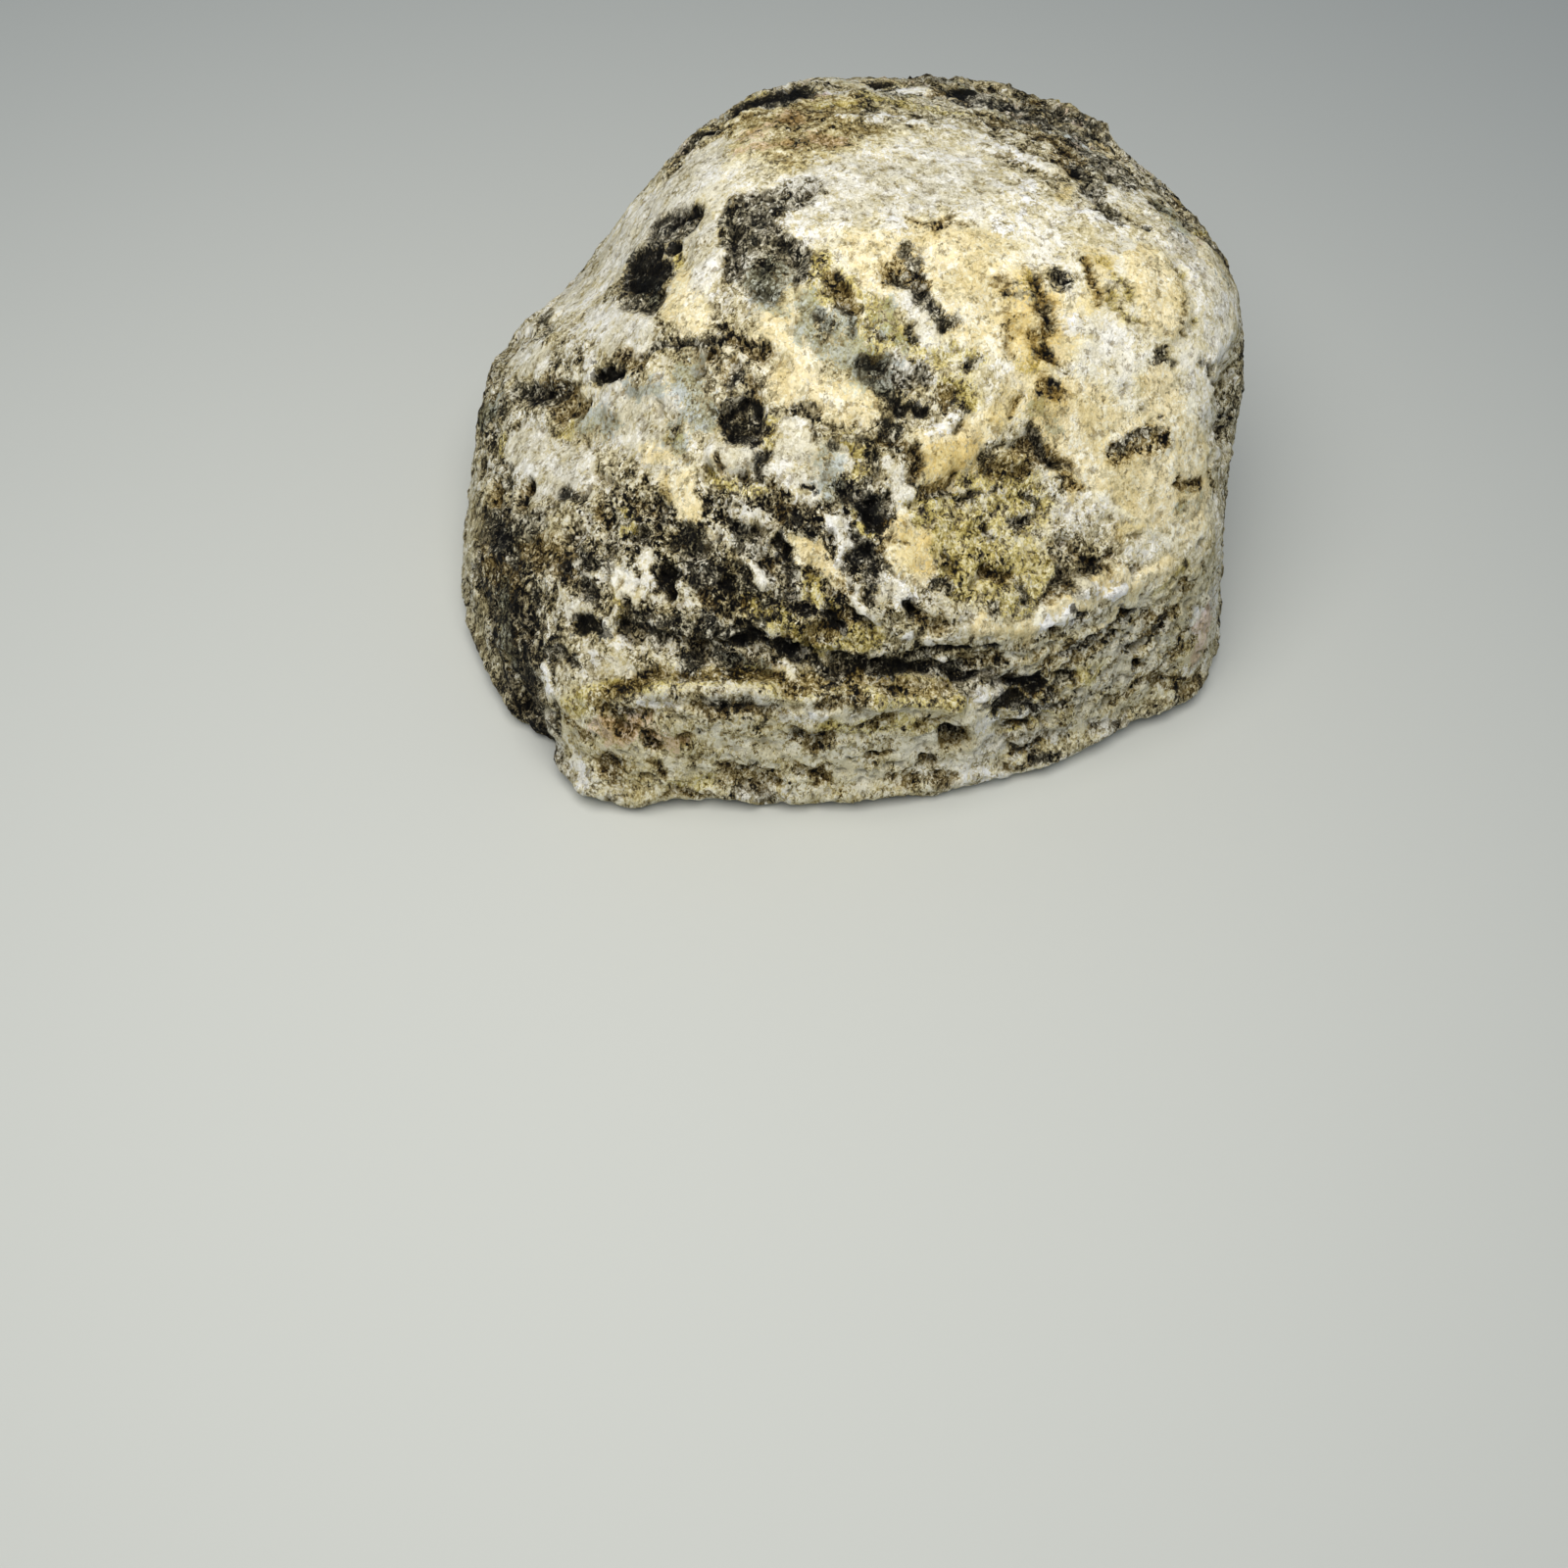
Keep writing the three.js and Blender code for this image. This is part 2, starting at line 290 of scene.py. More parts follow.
# Each mark gives its tone, its two ends, its width and, where they aren't the usual ones,
# its rise, its steepness and whether it is even.
MARKS = {
    "the outline": [
        Mark(None, (66, 38), (72, 38), 3.5, -1.0),
        Mark(None, (58, 34), (52, 34), 3.0, 1.2),
        Mark(None, (43, 35), (38, 35), 3.0, -1.2),
        Mark(None, (26, 38), (14, 40), 3.2, -1.3),
        Mark(None, (353, 28), (350, 17), 4.5, -2.6),
        Mark(None, (134, 48), (130, 48), 3.0, -1.2),
        Mark(None, (177, 12), (174, 10), 3.0, -1.0),
        Mark(None, (228, -11), (231, -16), 4.5, -1.8),
        Mark(None, (241, -13), (245, -17), 3.5, 1.2),
        Mark(None, (250, -17), (256, -17), 2.5, -0.6),
    ],
    "the broad grounds": [
        Mark(CHALK, (180, 83), (30, 77), 5.0, 0.0),
        Mark(TAN, (240, -4), (288, -5), 5.6, 0.0),
        Mark(TAN, (244, -11), (280, -17), 3.0, 0.0),
        Mark(TAN, (303, -8), (328, -6), 6.5, 0.0),
        Mark(TAN, (300, 4), (332, 5), 3.2, 0.0),
        Mark(TAN, (322, 2), (334, 2), 3.0, 0.0),
        Mark(SLATE, (209, 2), (228, -8), 4.6, 0.0),
        Mark(SLATE, (226, -12), (234, -14), 3.0, 0.0),
        Mark(OLIVE, (285, 32), (300, 23), 3.6, 0.0),
        Mark(OLIVE, (292, 36), (304, 31), 3.0, 0.0),
        Mark(CREAM, (308, 62), (326, 54), 3.4, 0.0),
        Mark(CREAM, (318, 40), (332, 20), 4.5, 0.0),
        Mark(CREAM, (290, 78), (320, 70), 4.0, 0.0),
        Mark(OLIVE, (290, 22), (303, 19), 2.6, 0.0),
    ],
    "the smooth shoulder": [
        Mark(CHALK, (166, 24), (165, 50), 5.2, 0.0),
        Mark(CHALK, (154, 50), (152, 56), 2.6, 0.0),
        Mark(CHALK, (186, 30), (205, 42), 2.6, 0.0),
        Mark(CHALK, (184, 58), (208, 54), 1.9),
        Mark(CREAM, (200, 51), (216, 51), 2.0),
        Mark(DARK, (148, 38), (145, 43), 0.5),
    ],
    "the black scar in the shoulder": [
        Mark(BLACK, (178, 41), (182, 47), 1.7, -0.7, 2, True),
        Mark(BLACK, (184, 42), (191, 48), 1.7, -0.6, 2, True),
        Mark(BLACK, (183, 51), (186, 52), 0.8, -0.3, 2, True),
        Mark(DARK, (191, 42), (199, 47), 1.7, -0.6, 2, True),
        Mark(DARK, (174, 48), (178, 55), 2.1, -0.6, 2, True),
        Mark(BLACK, (173, 51), (177, 57), 0.6, -0.2),
        # Painted glint: the blue-grey streak over the black scar stands for the sheen of the
        # black stone.
        Mark(BLUE, (188, 43), (196, 46), 0.8, 0.0),
        Mark(OLIVE, (190, 52), (194, 53), 0.8, 0.0),
        Mark(CHALK, (186, 54), (188, 55), 0.5, 0.0),
    ],
    "the grey hollow beside it": [
        Mark(GREY, (190, 65), (186, 75), 2.6, -0.3),
        Mark(GREY, (199, 66), (220, 68), 3.1, -0.3),
        Mark(GREY, (208, 62), (226, 62), 1.8, -0.2),
        Mark(DARK, (186, 64), (184, 68), 0.6, -0.2),
        Mark(DARK, (183, 70), (184, 72), 0.5, -0.2),
        Mark(DARK, (188, 64), (198, 63), 0.6, -0.2),
        Mark(DARK, (184, 76), (182, 80), 0.4),
        Mark(DARK, (196, 67), (199, 69), 0.4),
        Mark(DARK, (202, 66), (208, 68), 0.5),
        Mark(DARK, (215, 70), (226, 71), 0.7),
        Mark(DARK, (216, 65), (220, 66), 0.4),
        Mark(WHITE, (201, 73), (206, 72), 0.5, 0.0),
        Mark(WHITE, (211, 74), (215, 73), 0.5, 0.0),
        Mark(BLUE, (221, 63), (232, 61), 1.5, 0.0),
    ],
    "the top of the crown": [
        Mark(WHITE, (110, 66), (88, 64), 0.7),
        Mark(WHITE, (80, 66), (60, 62), 0.8),
        Mark(WHITE, (45, 62), (28, 60), 1.2),
        Mark(WHITE, (20, 66), (0, 68), 0.8),
        Mark(WHITE, (350, 70), (344, 70), 0.7),
        Mark(WHITE, (5, 59), (355, 54), 0.9),
        Mark(WHITE, (268, 83), (285, 82), 0.9),
        Mark(CREAM, (310, 76), (322, 67), 2.8),
        Mark(CREAM, (250, 77), (268, 73), 2.2),
        Mark(BROWN, (302, 84), (310, 82), 0.5),
        Mark(BROWN, (322, 80), (336, 79), 0.8),
        Mark(BROWN, (338, 77), (346, 75), 0.35),
        Mark(OLIVE, (2, 80), (14, 79), 0.6),
        Mark(OLIVE, (14, 71), (18, 72), 0.5),
        Mark(RUST, (325, 80), (333, 80), 0.6),
        Mark(RUST, (12, 62), (18, 60), 0.6),
        Mark(PINK, (143, 60), (126, 62), 1.2),
        Mark(PINK, (150, 62), (120, 72), 0.8),
    ],
    "the dark rim behind the crown": [
        Mark(DARK, (146, 41), (139, 48), 1.5),
        Mark(BLACK, (138, 49), (128, 51), 1.9, -0.3),
        Mark(BLACK, (127, 50), (116, 49), 2.6, -0.3),
        Mark(DARK, (126, 55), (116, 54), 1.7, -0.2),
        Mark(DARK, (115, 48), (110, 46), 1.2),
        Mark(DARK, (113, 61), (112, 61), 0.5),
        Mark(DARK, (97, 62), (98, 61), 0.5),
        Mark(DARK, (98, 48), (97, 46), 0.6),
        Mark(BLACK, (96, 42), (92, 41), 0.9, -0.2),
        Mark(BLACK, (77, 43), (73, 42), 0.9, -0.2),
        Mark(DARK, (70, 44), (62, 40), 0.9),
        Mark(DARK, (64, 40), (52, 35), 1.0),
        Mark(DARK, (50, 36), (38, 36), 0.9),
        Mark(PINK, (114, 55), (110, 53), 0.8),
        Mark(WHITE, (108, 52), (100, 49), 1.0),
        Mark(WHITE, (88, 44), (83, 44), 1.1),
        Mark(GREY, (92, 44), (46, 39), 2.4, 0.0),
        Mark(TAN, (146, 55), (105, 57), 2.6, 0.0),
        Mark(TAN, (152, 62), (112, 64), 3.0, 0.0),
        Mark(TAN, (148, 72), (100, 72), 3.0, 0.0),
        Mark(OLIVE, (112, 60), (100, 61), 0.9, 0.0),
        Mark(OLIVE, (98, 56), (62, 52), 1.2, 0.0),
        # The brown band at the right of the far rim is partly its own colour and partly painted
        # shade where the rim turns down away from the lamp.
        Mark(BROWN, (64, 52), (45, 54), 1.7, 0.0),
        Mark(BROWN, (38, 54), (27, 57), 1.5),
        Mark(GREY, (48, 46), (26, 50), 3.2, 0.0),
        Mark(GREY, (26, 56), (6, 56), 1.6, -0.3),
        Mark(DARK, (32, 55), (26, 56), 0.6),
    ],
    "the hollows at the front of the crown": [
        Mark(OLIVE, (236, 71), (247, 67), 1.5, 0.0),
        Mark(OLIVE, (252, 69), (270, 67), 1.4, -0.2),
        Mark(OLIVE, (262, 66), (272, 61), 1.7, -0.2),
        Mark(OLIVE, (274, 63), (285, 60), 1.5, -0.2),
        Mark(OLIVE, (285, 59), (300, 57), 1.5, -0.2),
        Mark(BLUE, (240, 65), (247, 61), 1.2, 0.0),
        Mark(BLUE, (253, 60), (266, 57), 1.9, -0.2),
        Mark(GREY, (268, 57), (282, 56), 1.6, -0.4),
        Mark(GREY, (279, 74), (290, 71), 1.5, -0.4),
        Mark(GREY, (288, 68), (298, 63), 0.9, -0.3),
        Mark(CHALK, (280, 69), (288, 62), 1.2, 0.0),
        Mark(DARK, (284, 77), (291, 73), 0.9, -0.4),
        Mark(DARK, (277, 72), (283, 71), 0.7, -0.4),
        Mark(DARK, (290, 70), (294, 65), 0.7, -0.5),
        Mark(DARK, (294, 64), (300, 63), 0.5, -0.2),
        Mark(DARK, (282, 64), (283, 62), 0.5, -0.2),
        Mark(BLUE, (274, 68), (278, 62), 1.0, 0.0),
        Mark(BROWN, (245, 71), (247, 69), 0.4, -0.2),
        Mark(BROWN, (252, 68), (262, 66), 1.2, -0.4),
        Mark(DARK, (255, 66), (262, 62), 0.6, -0.5),
        Mark(DARK, (267, 64), (271, 62), 0.4, -0.3),
        Mark(GREY, (247, 64), (252, 62), 0.8, -0.3),
        Mark(DARK, (248, 64), (250, 63), 0.3),
        Mark(DARK, (266, 58), (272, 57), 0.75, -0.4),
        Mark(BROWN, (270, 59), (273, 57), 0.7, 0.0),
        Mark(DARK, (273, 54), (277, 52), 0.7, -0.3),
        Mark(CREAM, (236, 58), (251, 54), 1.9, 0.5, 1.5),
        Mark(CREAM, (246, 51), (270, 50), 1.6, 0.4, 1.5),
    ],
    "the right shoulder and its disc of cream": [
        Mark(CREAM, (352, 50), (346, 45), 2.9, 0.6, 2.5, True),
        Mark(OLIVE, (342, 53), (341, 46), 0.5, -0.4),
        Mark(OLIVE, (342, 43), (348, 41), 0.4, -0.4),
        Mark(OLIVE, (357, 51), (354, 45), 0.5, -0.4),
        Mark(CHALK, (2, 46), (357, 38), 2.0, 0.0),
        Mark(BROWN, (349, 44), (345, 41), 0.4),
        Mark(OLIVE, (347, 55), (343, 50), 0.5, -0.3),
        Mark(BROWN, (345, 58), (339, 54), 0.8),
        Mark(RUST, (346, 57), (339, 54), 1.5),
        Mark(GREY, (337, 61), (334, 59), 1.0),
        Mark(DARK, (338, 58), (337, 59), 0.5),
        Mark(BLACK, (3, 51), (8, 54), 0.36),
        Mark(DARK, (15, 48), (12, 46), 0.7),
        Mark(BLUE, (16, 46), (8, 45), 1.0),
        Mark(BROWN, (322, 66), (320, 64), 0.5),
        # The broken brown column down the right shoulder is partly brown and orange spots and
        # partly painted shadow beside its small upright ridges.
        Mark(BROWN, (329, 61), (325, 58), 1.0, -0.3),
        Mark(BROWN, (325, 56), (320, 55), 0.9, -0.2),
        Mark(BROWN, (319, 53), (321, 51), 0.8, -0.2),
        Mark(BROWN, (316, 49), (318, 46), 0.8, -0.1),
        Mark(OLIVE, (328, 62), (316, 54), 1.6, 0.0),
        Mark(DARK, (326, 58), (325, 56), 0.5, -0.3),
        Mark(DARK, (321, 54), (320, 53), 0.45, -0.2),
        Mark(WHITE, (323, 58), (321, 57), 0.5),
        Mark(RUST, (329, 62), (316, 48), 2.2),
        Mark(GREY, (316, 60), (310, 55), 0.9, -0.2),
        Mark(WHITE, (329, 55), (331, 51), 0.7),
    ],
    "the ledge under the shoulder": [
        Mark(DARK, (173, 18), (181, 21), 1.1),
        Mark(CHALK, (179, 12), (190, 21), 1.4),
        Mark(BLUE, (184, 4), (187, 9), 1.3),
        Mark(DARK, (188, 8), (191, 11), 0.7),
        Mark(DARK, (190, 15), (198, 21), 1.2, -0.6),
        Mark(BROWN, (195, 20), (205, 24), 1.6, -0.5),
        Mark(BLACK, (203, 31), (209, 35), 0.86, -0.8),
        Mark(BROWN, (205, 37), (213, 40), 0.8),
        # The dark and brown line along the ledge's edge and the brown band just under the black
        # crack are painted shadow of the ledge's overhang.
        Mark(DARK, (212, 42), (223, 50), 0.5, -0.6),
        Mark(BROWN, (221, 48), (227, 49), 0.7, -0.5),
        Mark(BLACK, (223, 53), (236, 55), 0.36, -0.7),
        Mark(BROWN, (228, 53), (237, 53), 0.8, -0.3),
        Mark(BROWN, (232, 50), (241, 48), 0.9, -0.4),
        Mark(DARK, (234, 49), (236, 48), 0.6),
        Mark(None, (206, 44), (218, 51), 1.8, 0.6),
    ],
    "the pale hollow": [
        Mark(CHALK, (210, 31), (224, 38), 2.6),
        Mark(CHALK, (216, 30), (230, 31), 2.3),
        Mark(CREAM, (226, 30), (231, 32), 1.2),
        Mark(CREAM, (236, 31), (241, 26), 1.2),
        Mark(BLUE, (225, 43), (232, 41), 1.7),
        Mark(BLUE, (229, 39), (232, 34), 0.9),
        Mark(BLUE, (208, 24), (213, 28), 1.3),
        Mark(BLUE, (214, 35), (220, 39), 0.9),
        Mark(OLIVE, (226, 37), (229, 35), 0.8, -0.3),
        Mark(RUST, (232, 29), (234, 27), 0.7),
        Mark(CHALK, (201, 13), (215, 19), 3.0),
        Mark(OLIVE, (205, 19), (206, 21), 0.5),
        Mark(OLIVE, (195, 9), (199, 12), 1.1),
        Mark(DARK, (217, 16), (220, 18), 0.9, -0.6),
    ],
    "the round dark spot, the lump below it and the crack": [
        Mark(DARK, (239, 43), (243, 42), 1.8, -0.5, 3, True),
        Mark(BROWN, (239, 43), (243, 42), 1.5, 0.0, 1.0, True),
        Mark(BLACK, (237, 41), (241, 39), 0.36, -0.3),
        Mark(BLACK, (241, 39), (246, 40), 0.43, -0.4),
        Mark(BLACK, (239, 46), (244, 45), 0.29, -0.2),
        Mark(OLIVE, (248, 44), (249, 42), 1.0),
        Mark(CHALK, (241, 37), (245, 38), 1.9, 0.8, 2, True),
        Mark(DARK, (249, 39), (249, 36), 0.6, -0.5),
        Mark(BROWN, (241, 35), (247, 34), 0.5, -0.4),
        Mark(DARK, (246, 34), (250, 35), 0.4, -0.3),
        Mark(OLIVE, (240, 34), (250, 33), 0.8),
        Mark(DARK, (251, 48), (257, 46), 0.3, -0.4),
        Mark(DARK, (257, 46), (264, 43), 0.3, -0.4),
        Mark(CHALK, (252, 44), (262, 42), 1.8),
        Mark(CHALK, (254, 38), (259, 37), 1.4),
        Mark(BLUE, (262, 41), (264, 37), 1.3),
        Mark(BLACK, (259, 36), (260, 36), 0.36),
    ],
    "the dark seam down the middle": [
        Mark(OLIVE, (266, 44), (268, 40), 1.2, -0.3),
        Mark(DARK, (266, 45), (271, 45), 0.3, -0.3),
        Mark(DARK, (273, 43), (272, 38), 0.5, -0.4),
        Mark(DARK, (267, 36), (275, 35), 1.1, -0.7),
        Mark(BLACK, (272, 33), (274, 31), 0.9, -0.7),
        Mark(OLIVE, (271, 31), (274, 30), 0.8, 0.0),
        Mark(GREY, (270, 28), (275, 25), 1.6, -0.3),
        Mark(DARK, (271, 27), (275, 26), 0.9, -0.5),
        Mark(DARK, (273, 24), (277, 22), 0.8, -0.4),
        Mark(DARK, (276, 37), (277, 33), 0.7, -0.4),
        Mark(BLACK, (277, 51), (283, 50), 0.45, -0.4),
        Mark(DARK, (276, 48), (277, 46), 0.8, -0.3),
        Mark(BROWN, (275, 45), (280, 43), 0.9, -0.3),
        Mark(DARK, (276, 44), (278, 44), 0.5),
        Mark(WHITE, (264, 32), (265, 30), 0.5, 0.3),
        Mark(WHITE, (266, 31), (268, 28), 1.0, 0.4),
        Mark(CREAM, (263, 26), (267, 23), 1.2),
        Mark(CHALK, (277, 40), (281, 37), 0.9),
        Mark(CREAM, (278, 31), (281, 24), 2.0, 0.4),
        Mark(RUST, (280, 29), (282, 25), 1.2),
        Mark(WHITE, (277, 23), (280, 20), 1.1, 0.2),
    ],
    "the cream disc and the olive hollow": [
        Mark(CREAM, (287, 44), (294, 42), 2.2, 0.6, 1.6),
        Mark(WHITE, (287, 47), (293, 48), 1.0),
        Mark(RUST, (288, 42), (297, 41), 1.6),
        Mark(CREAM, (297, 46), (302, 46), 1.5),
        # Painted shadow: the brown edge on the left of the raised cream disc and the dark line
        # under it.
        Mark(BROWN, (282, 43), (282, 39), 0.7, -0.5),
        Mark(BROWN, (283, 37), (289, 37), 0.8, -0.4),
        Mark(DARK, (281, 38), (285, 36), 0.35, -0.5),
        Mark(DARK, (286, 36), (290, 36), 0.5, -0.4),
        Mark(DARK, (291, 35), (294, 34), 0.4, -0.3),
        Mark(DARK, (295, 35), (300, 35), 0.4, -0.4),
        Mark(DARK, (299, 41), (304, 42), 0.5, -0.4),
        Mark(OLIVE, (293, 54), (298, 50), 1.3),
        Mark(DARK, (299, 56), (301, 56), 0.6),
        Mark(DARK, (293, 51), (296, 49), 0.4),
        Mark(BROWN, (290, 53), (293, 47), 0.7),
        Mark(RUST, (305, 47), (310, 50), 1.3),
        Mark(BROWN, (307, 47), (309, 48), 0.4),
        # The brown and dark marks along the upper right rim of the olive hollow are partly brown
        # stain and partly painted shadow of the rim.
        Mark(OLIVE, (291, 39), (303, 38), 1.6, -0.3),
        Mark(BROWN, (300, 39), (308, 37), 1.0, -0.3),
        Mark(DARK, (310, 43), (311, 39), 0.7, -0.9),
        Mark(DARK, (311, 38), (313, 35), 0.6, -0.7),
        Mark(BROWN, (308, 40), (313, 36), 1.1, -0.3),
        Mark(BROWN, (314, 36), (314, 32), 0.6),
        Mark(BROWN, (315, 32), (317, 30), 0.5),
        Mark(RUST, (314, 34), (316, 30), 0.8),
        Mark(DARK, (302, 28), (305, 28), 0.6, -0.5),
        Mark(DARK, (296, 29), (297, 27), 0.5, -0.3),
        Mark(DARK, (307, 32), (308, 30), 0.4),
        Mark(PALE, (286, 31), (296, 31), 1.5),
        Mark(PALE, (298, 25), (305, 24), 1.5),
        Mark(DARK, (300, 19), (301, 17), 0.7, -0.4),
        Mark(DARK, (294, 17), (295, 18), 0.5),
        Mark(PALE, (288, 25), (294, 22), 0.9),
        Mark(BROWN, (295, 23), (298, 21), 0.6, -0.2),
    ],
    "the right flank": [
        Mark(CREAM, (316, 40), (326, 24), 2.4, 0.0),
        Mark(CREAM, (336, 38), (338, 24), 2.4, 0.0),
        Mark(BLUE, (313, 46), (315, 41), 0.8),
        Mark(DARK, (324, 34), (330, 34), 0.5, -0.5),
        Mark(DARK, (330, 33), (334, 34), 0.35, -0.4),
        Mark(GREY, (325, 32), (333, 32), 1.0, -0.3),
        Mark(GREY, (339, 41), (341, 39), 0.5),
        Mark(GREY, (345, 36), (349, 29), 0.5),
        Mark(DARK, (346, 33), (347, 31), 0.3),
        Mark(DARK, (349, 21), (350, 17), 0.6),
        Mark(BROWN, (333, 24), (337, 21), 0.9),
        Mark(BROWN, (340, 21), (341, 17), 0.5),
        Mark(BLUE, (331, 20), (336, 19), 0.7),
        Mark(OLIVE, (330, 18), (335, 17), 0.5, -0.3),
        Mark(RUST, (320, 22), (323, 20), 0.7),
        Mark(BROWN, (311, 22), (316, 17), 0.6, -0.3),
        Mark(DARK, (313, 18), (315, 19), 0.4),
        Mark(BROWN, (317, 19), (321, 15), 0.5, -0.3),
        Mark(DARK, (308, 19), (309, 16), 0.7, -0.5),
        Mark(BROWN, (303, 16), (307, 17), 0.9, -0.2),
    ],
    "the pale ridge over the right corner": [
        # The white along this ridge is partly its own pale crust and partly painted highlight.
        Mark(WHITE, (310, 16), (317, 14), 0.9, 0.6),
        Mark(WHITE, (303, 12), (307, 12), 0.9, 0.5),
        Mark(CREAM, (292, 14), (302, 12), 1.3, 0.4),
        Mark(CREAM, (317, 13), (325, 13), 1.2, 0.4),
        Mark(OLIVE, (313, 16), (315, 17), 0.5, 0.0),
        Mark(OLIVE, (318, 12), (320, 13), 0.6, 0.0),
        Mark(OLIVE, (324, 9), (330, 11), 0.8, 0.0),
        Mark(BLACK, (309, 12), (310, 12), 0.43, -0.6, 2),
        # The dark and brown line under the ridge is painted shadow over dark fibres.
        Mark(DARK, (311, 4), (318, 7), 0.6, -0.5),
        Mark(BLACK, (318, 7), (321, 7), 0.43, -0.5),
        Mark(BROWN, (303, 7), (309, 6), 0.5, -0.3),
        Mark(BROWN, (329, 8), (332, 5), 0.7, -0.3),
    ],
    "the left corner": [
        Mark(BROWN, (202, 6), (204, 5), 1.3, -0.9, 2),
        Mark(DARK, (203, 8), (205, 8), 0.5),
        Mark(RUST, (203, 5), (204, 5), 0.8),
        Mark(BROWN, (208, 11), (209, 10), 1.0, -1.1, 2),
        Mark(DARK, (208, 12), (210, 12), 0.6, -0.3),
        Mark(DARK, (205, 2), (212, 6), 1.3, -0.4),
        Mark(GREY, (212, 8), (217, 11), 1.5, 0.0),
        Mark(DARK, (212, 4), (215, 5), 0.9, -0.4),
        Mark(BROWN, (217, 7), (226, 11), 1.7, 0.0),
        Mark(BROWN, (207, -2), (218, 3), 1.5, 0.0),
        Mark(DARK, (204, -7), (206, -5), 0.6),
        Mark(DARK, (222, 5), (223, 4), 0.5),
        Mark(DARK, (227, 13), (229, 13), 0.8, -0.5),
        Mark(DARK, (225, 11), (226, 10), 0.5),
        Mark(DARK, (230, 11), (231, 10), 0.6, -0.5),
        Mark(CHALK, (228, 8), (232, 9), 0.9),
        Mark(CHALK, (232, 15), (237, 13), 1.0),
        Mark(DARK, (226, -5), (230, -8), 0.6),
        Mark(DARK, (233, -4), (234, -7), 0.9),
        Mark(WHITE, (230, -1), (232, -2), 0.7),
        Mark(WHITE, (236, -9), (239, -13), 0.7, 0.0),
        Mark(BLUE, (215, 0), (222, -6), 1.2),
    ],
    "the pitted recess": [
        Mark(DARK, (231, 15), (232, 14), 0.5, -0.3),
        Mark(DARK, (233, 21), (234, 20), 0.6, -0.8, 2),
        Mark(DARK, (235, 25), (236, 23), 0.5, -0.3),
        Mark(OLIVE, (229, 21), (232, 20), 0.9),
        Mark(OLIVE, (240, 26), (243, 24), 0.9),
        Mark(OLIVE, (235, 13), (237, 11), 1.0),
        Mark(CHALK, (236, 18), (238, 14), 0.8),
        Mark(PALE, (243, 17), (245, 15), 0.8),
        Mark(DARK, (239, 24), (240, 21), 0.7, -0.3),
        Mark(DARK, (243, 23), (246, 19), 1.3, -0.3),
        Mark(DARK, (242, 20), (244, 19), 0.6, -0.3),
        Mark(BLACK, (241, 18), (242, 16), 0.7, -1.2, 2),
        Mark(BROWN, (245, 19), (249, 16), 0.8),
        Mark(PALE, (244, 26), (246, 23), 0.7),
        Mark(PALE, (248, 31), (250, 28), 0.8),
        Mark(PALE, (252, 30), (255, 26), 0.8),
        Mark(DARK, (248, 27), (249, 26), 0.5, -0.4),
        Mark(GREY, (250, 26), (255, 22), 1.5),
        Mark(WHITE, (254, 22), (256, 20), 0.5, 0.2),
        Mark(DARK, (251, 22), (252, 20), 0.6, -0.4),
        Mark(BLACK, (250, 19), (251, 18), 0.6, -1.0, 2),
        Mark(BLACK, (256, 27), (258, 26), 0.6, -0.8, 2),
        Mark(BLACK, (258, 25), (259, 24), 0.4, -0.5),
        Mark(DARK, (259, 31), (261, 29), 0.5),
        Mark(PALE, (263, 26), (266, 23), 0.9),
        Mark(PALE, (258, 24), (261, 28), 0.7),
        Mark(PALE, (256, 16), (259, 13), 0.9),
        Mark(OLIVE, (256, 17), (262, 13), 1.3),
        Mark(DARK, (255, 19), (258, 18), 0.6, -0.3),
        Mark(DARK, (260, 22), (261, 19), 0.7, -0.3),
        Mark(BLACK, (262, 18), (264, 17), 0.4, -0.6),
        Mark(OLIVE, (263, 21), (268, 18), 1.0),
        Mark(BLACK, (267, 17), (270, 15), 0.6, -0.6),
        Mark(BROWN, (265, 15), (271, 17), 1.2, -0.3),
        Mark(PALE, (264, 14), (267, 12), 0.9),
        Mark(OLIVE, (264, 12), (275, 14), 1.5),
        Mark(WHITE, (271, 20), (275, 17), 0.7, 0.3),
        Mark(PALE, (271, 20), (277, 16), 1.2, 0.2),
        Mark(PALE, (276, 20), (280, 18), 0.8, 0.2),
        Mark(WHITE, (280, 14), (284, 12), 0.6),
        Mark(BLACK, (280, 20), (281, 18), 0.6, -1.4, 2),
        Mark(DARK, (284, 22), (287, 21), 0.6, -0.4),
        Mark(BROWN, (282, 18), (286, 15), 1.0, -0.4),
        Mark(WHITE, (236, 9), (238, 7), 0.8, 0.6, 2),
    ],
    "the groove above the lip": [
        Mark(None, (238, 8), (250, 9), 1.5, -0.8, 1.5, True),
        Mark(None, (250, 9), (270, 9), 1.7, -0.9, 1.5, True),
        Mark(None, (270, 9), (284, 7), 1.6, -0.6, 1.5, True),
        Mark(None, (284, 6), (294, 4), 1.3, -0.5, 1.5, True),
        Mark(BLACK, (232, 7), (237, 7), 0.8, -0.3),
        Mark(DARK, (238, 11), (244, 10), 1.1, -0.2),
        Mark(DARK, (244, 12), (255, 13), 1.1, -0.2),
        Mark(DARK, (248, 8), (254, 8), 1.2, 0.0),
        Mark(BLACK, (255, 11), (262, 10), 0.8, -0.3),
        Mark(DARK, (262, 9), (271, 9), 1.0, 0.0),
        Mark(BLACK, (273, 9), (279, 7), 0.8, 0.0),
        Mark(BLACK, (280, 7), (284, 6), 0.5, 0.0, 1.0, True),
        Mark(DARK, (284, 6), (290, 5), 0.7, 0.0, 1.0, True),
        Mark(PALE, (298, 10), (302, 5), 1.1, 0.2),
        Mark(PALE, (304, 8), (311, 4), 1.2, 0.1),
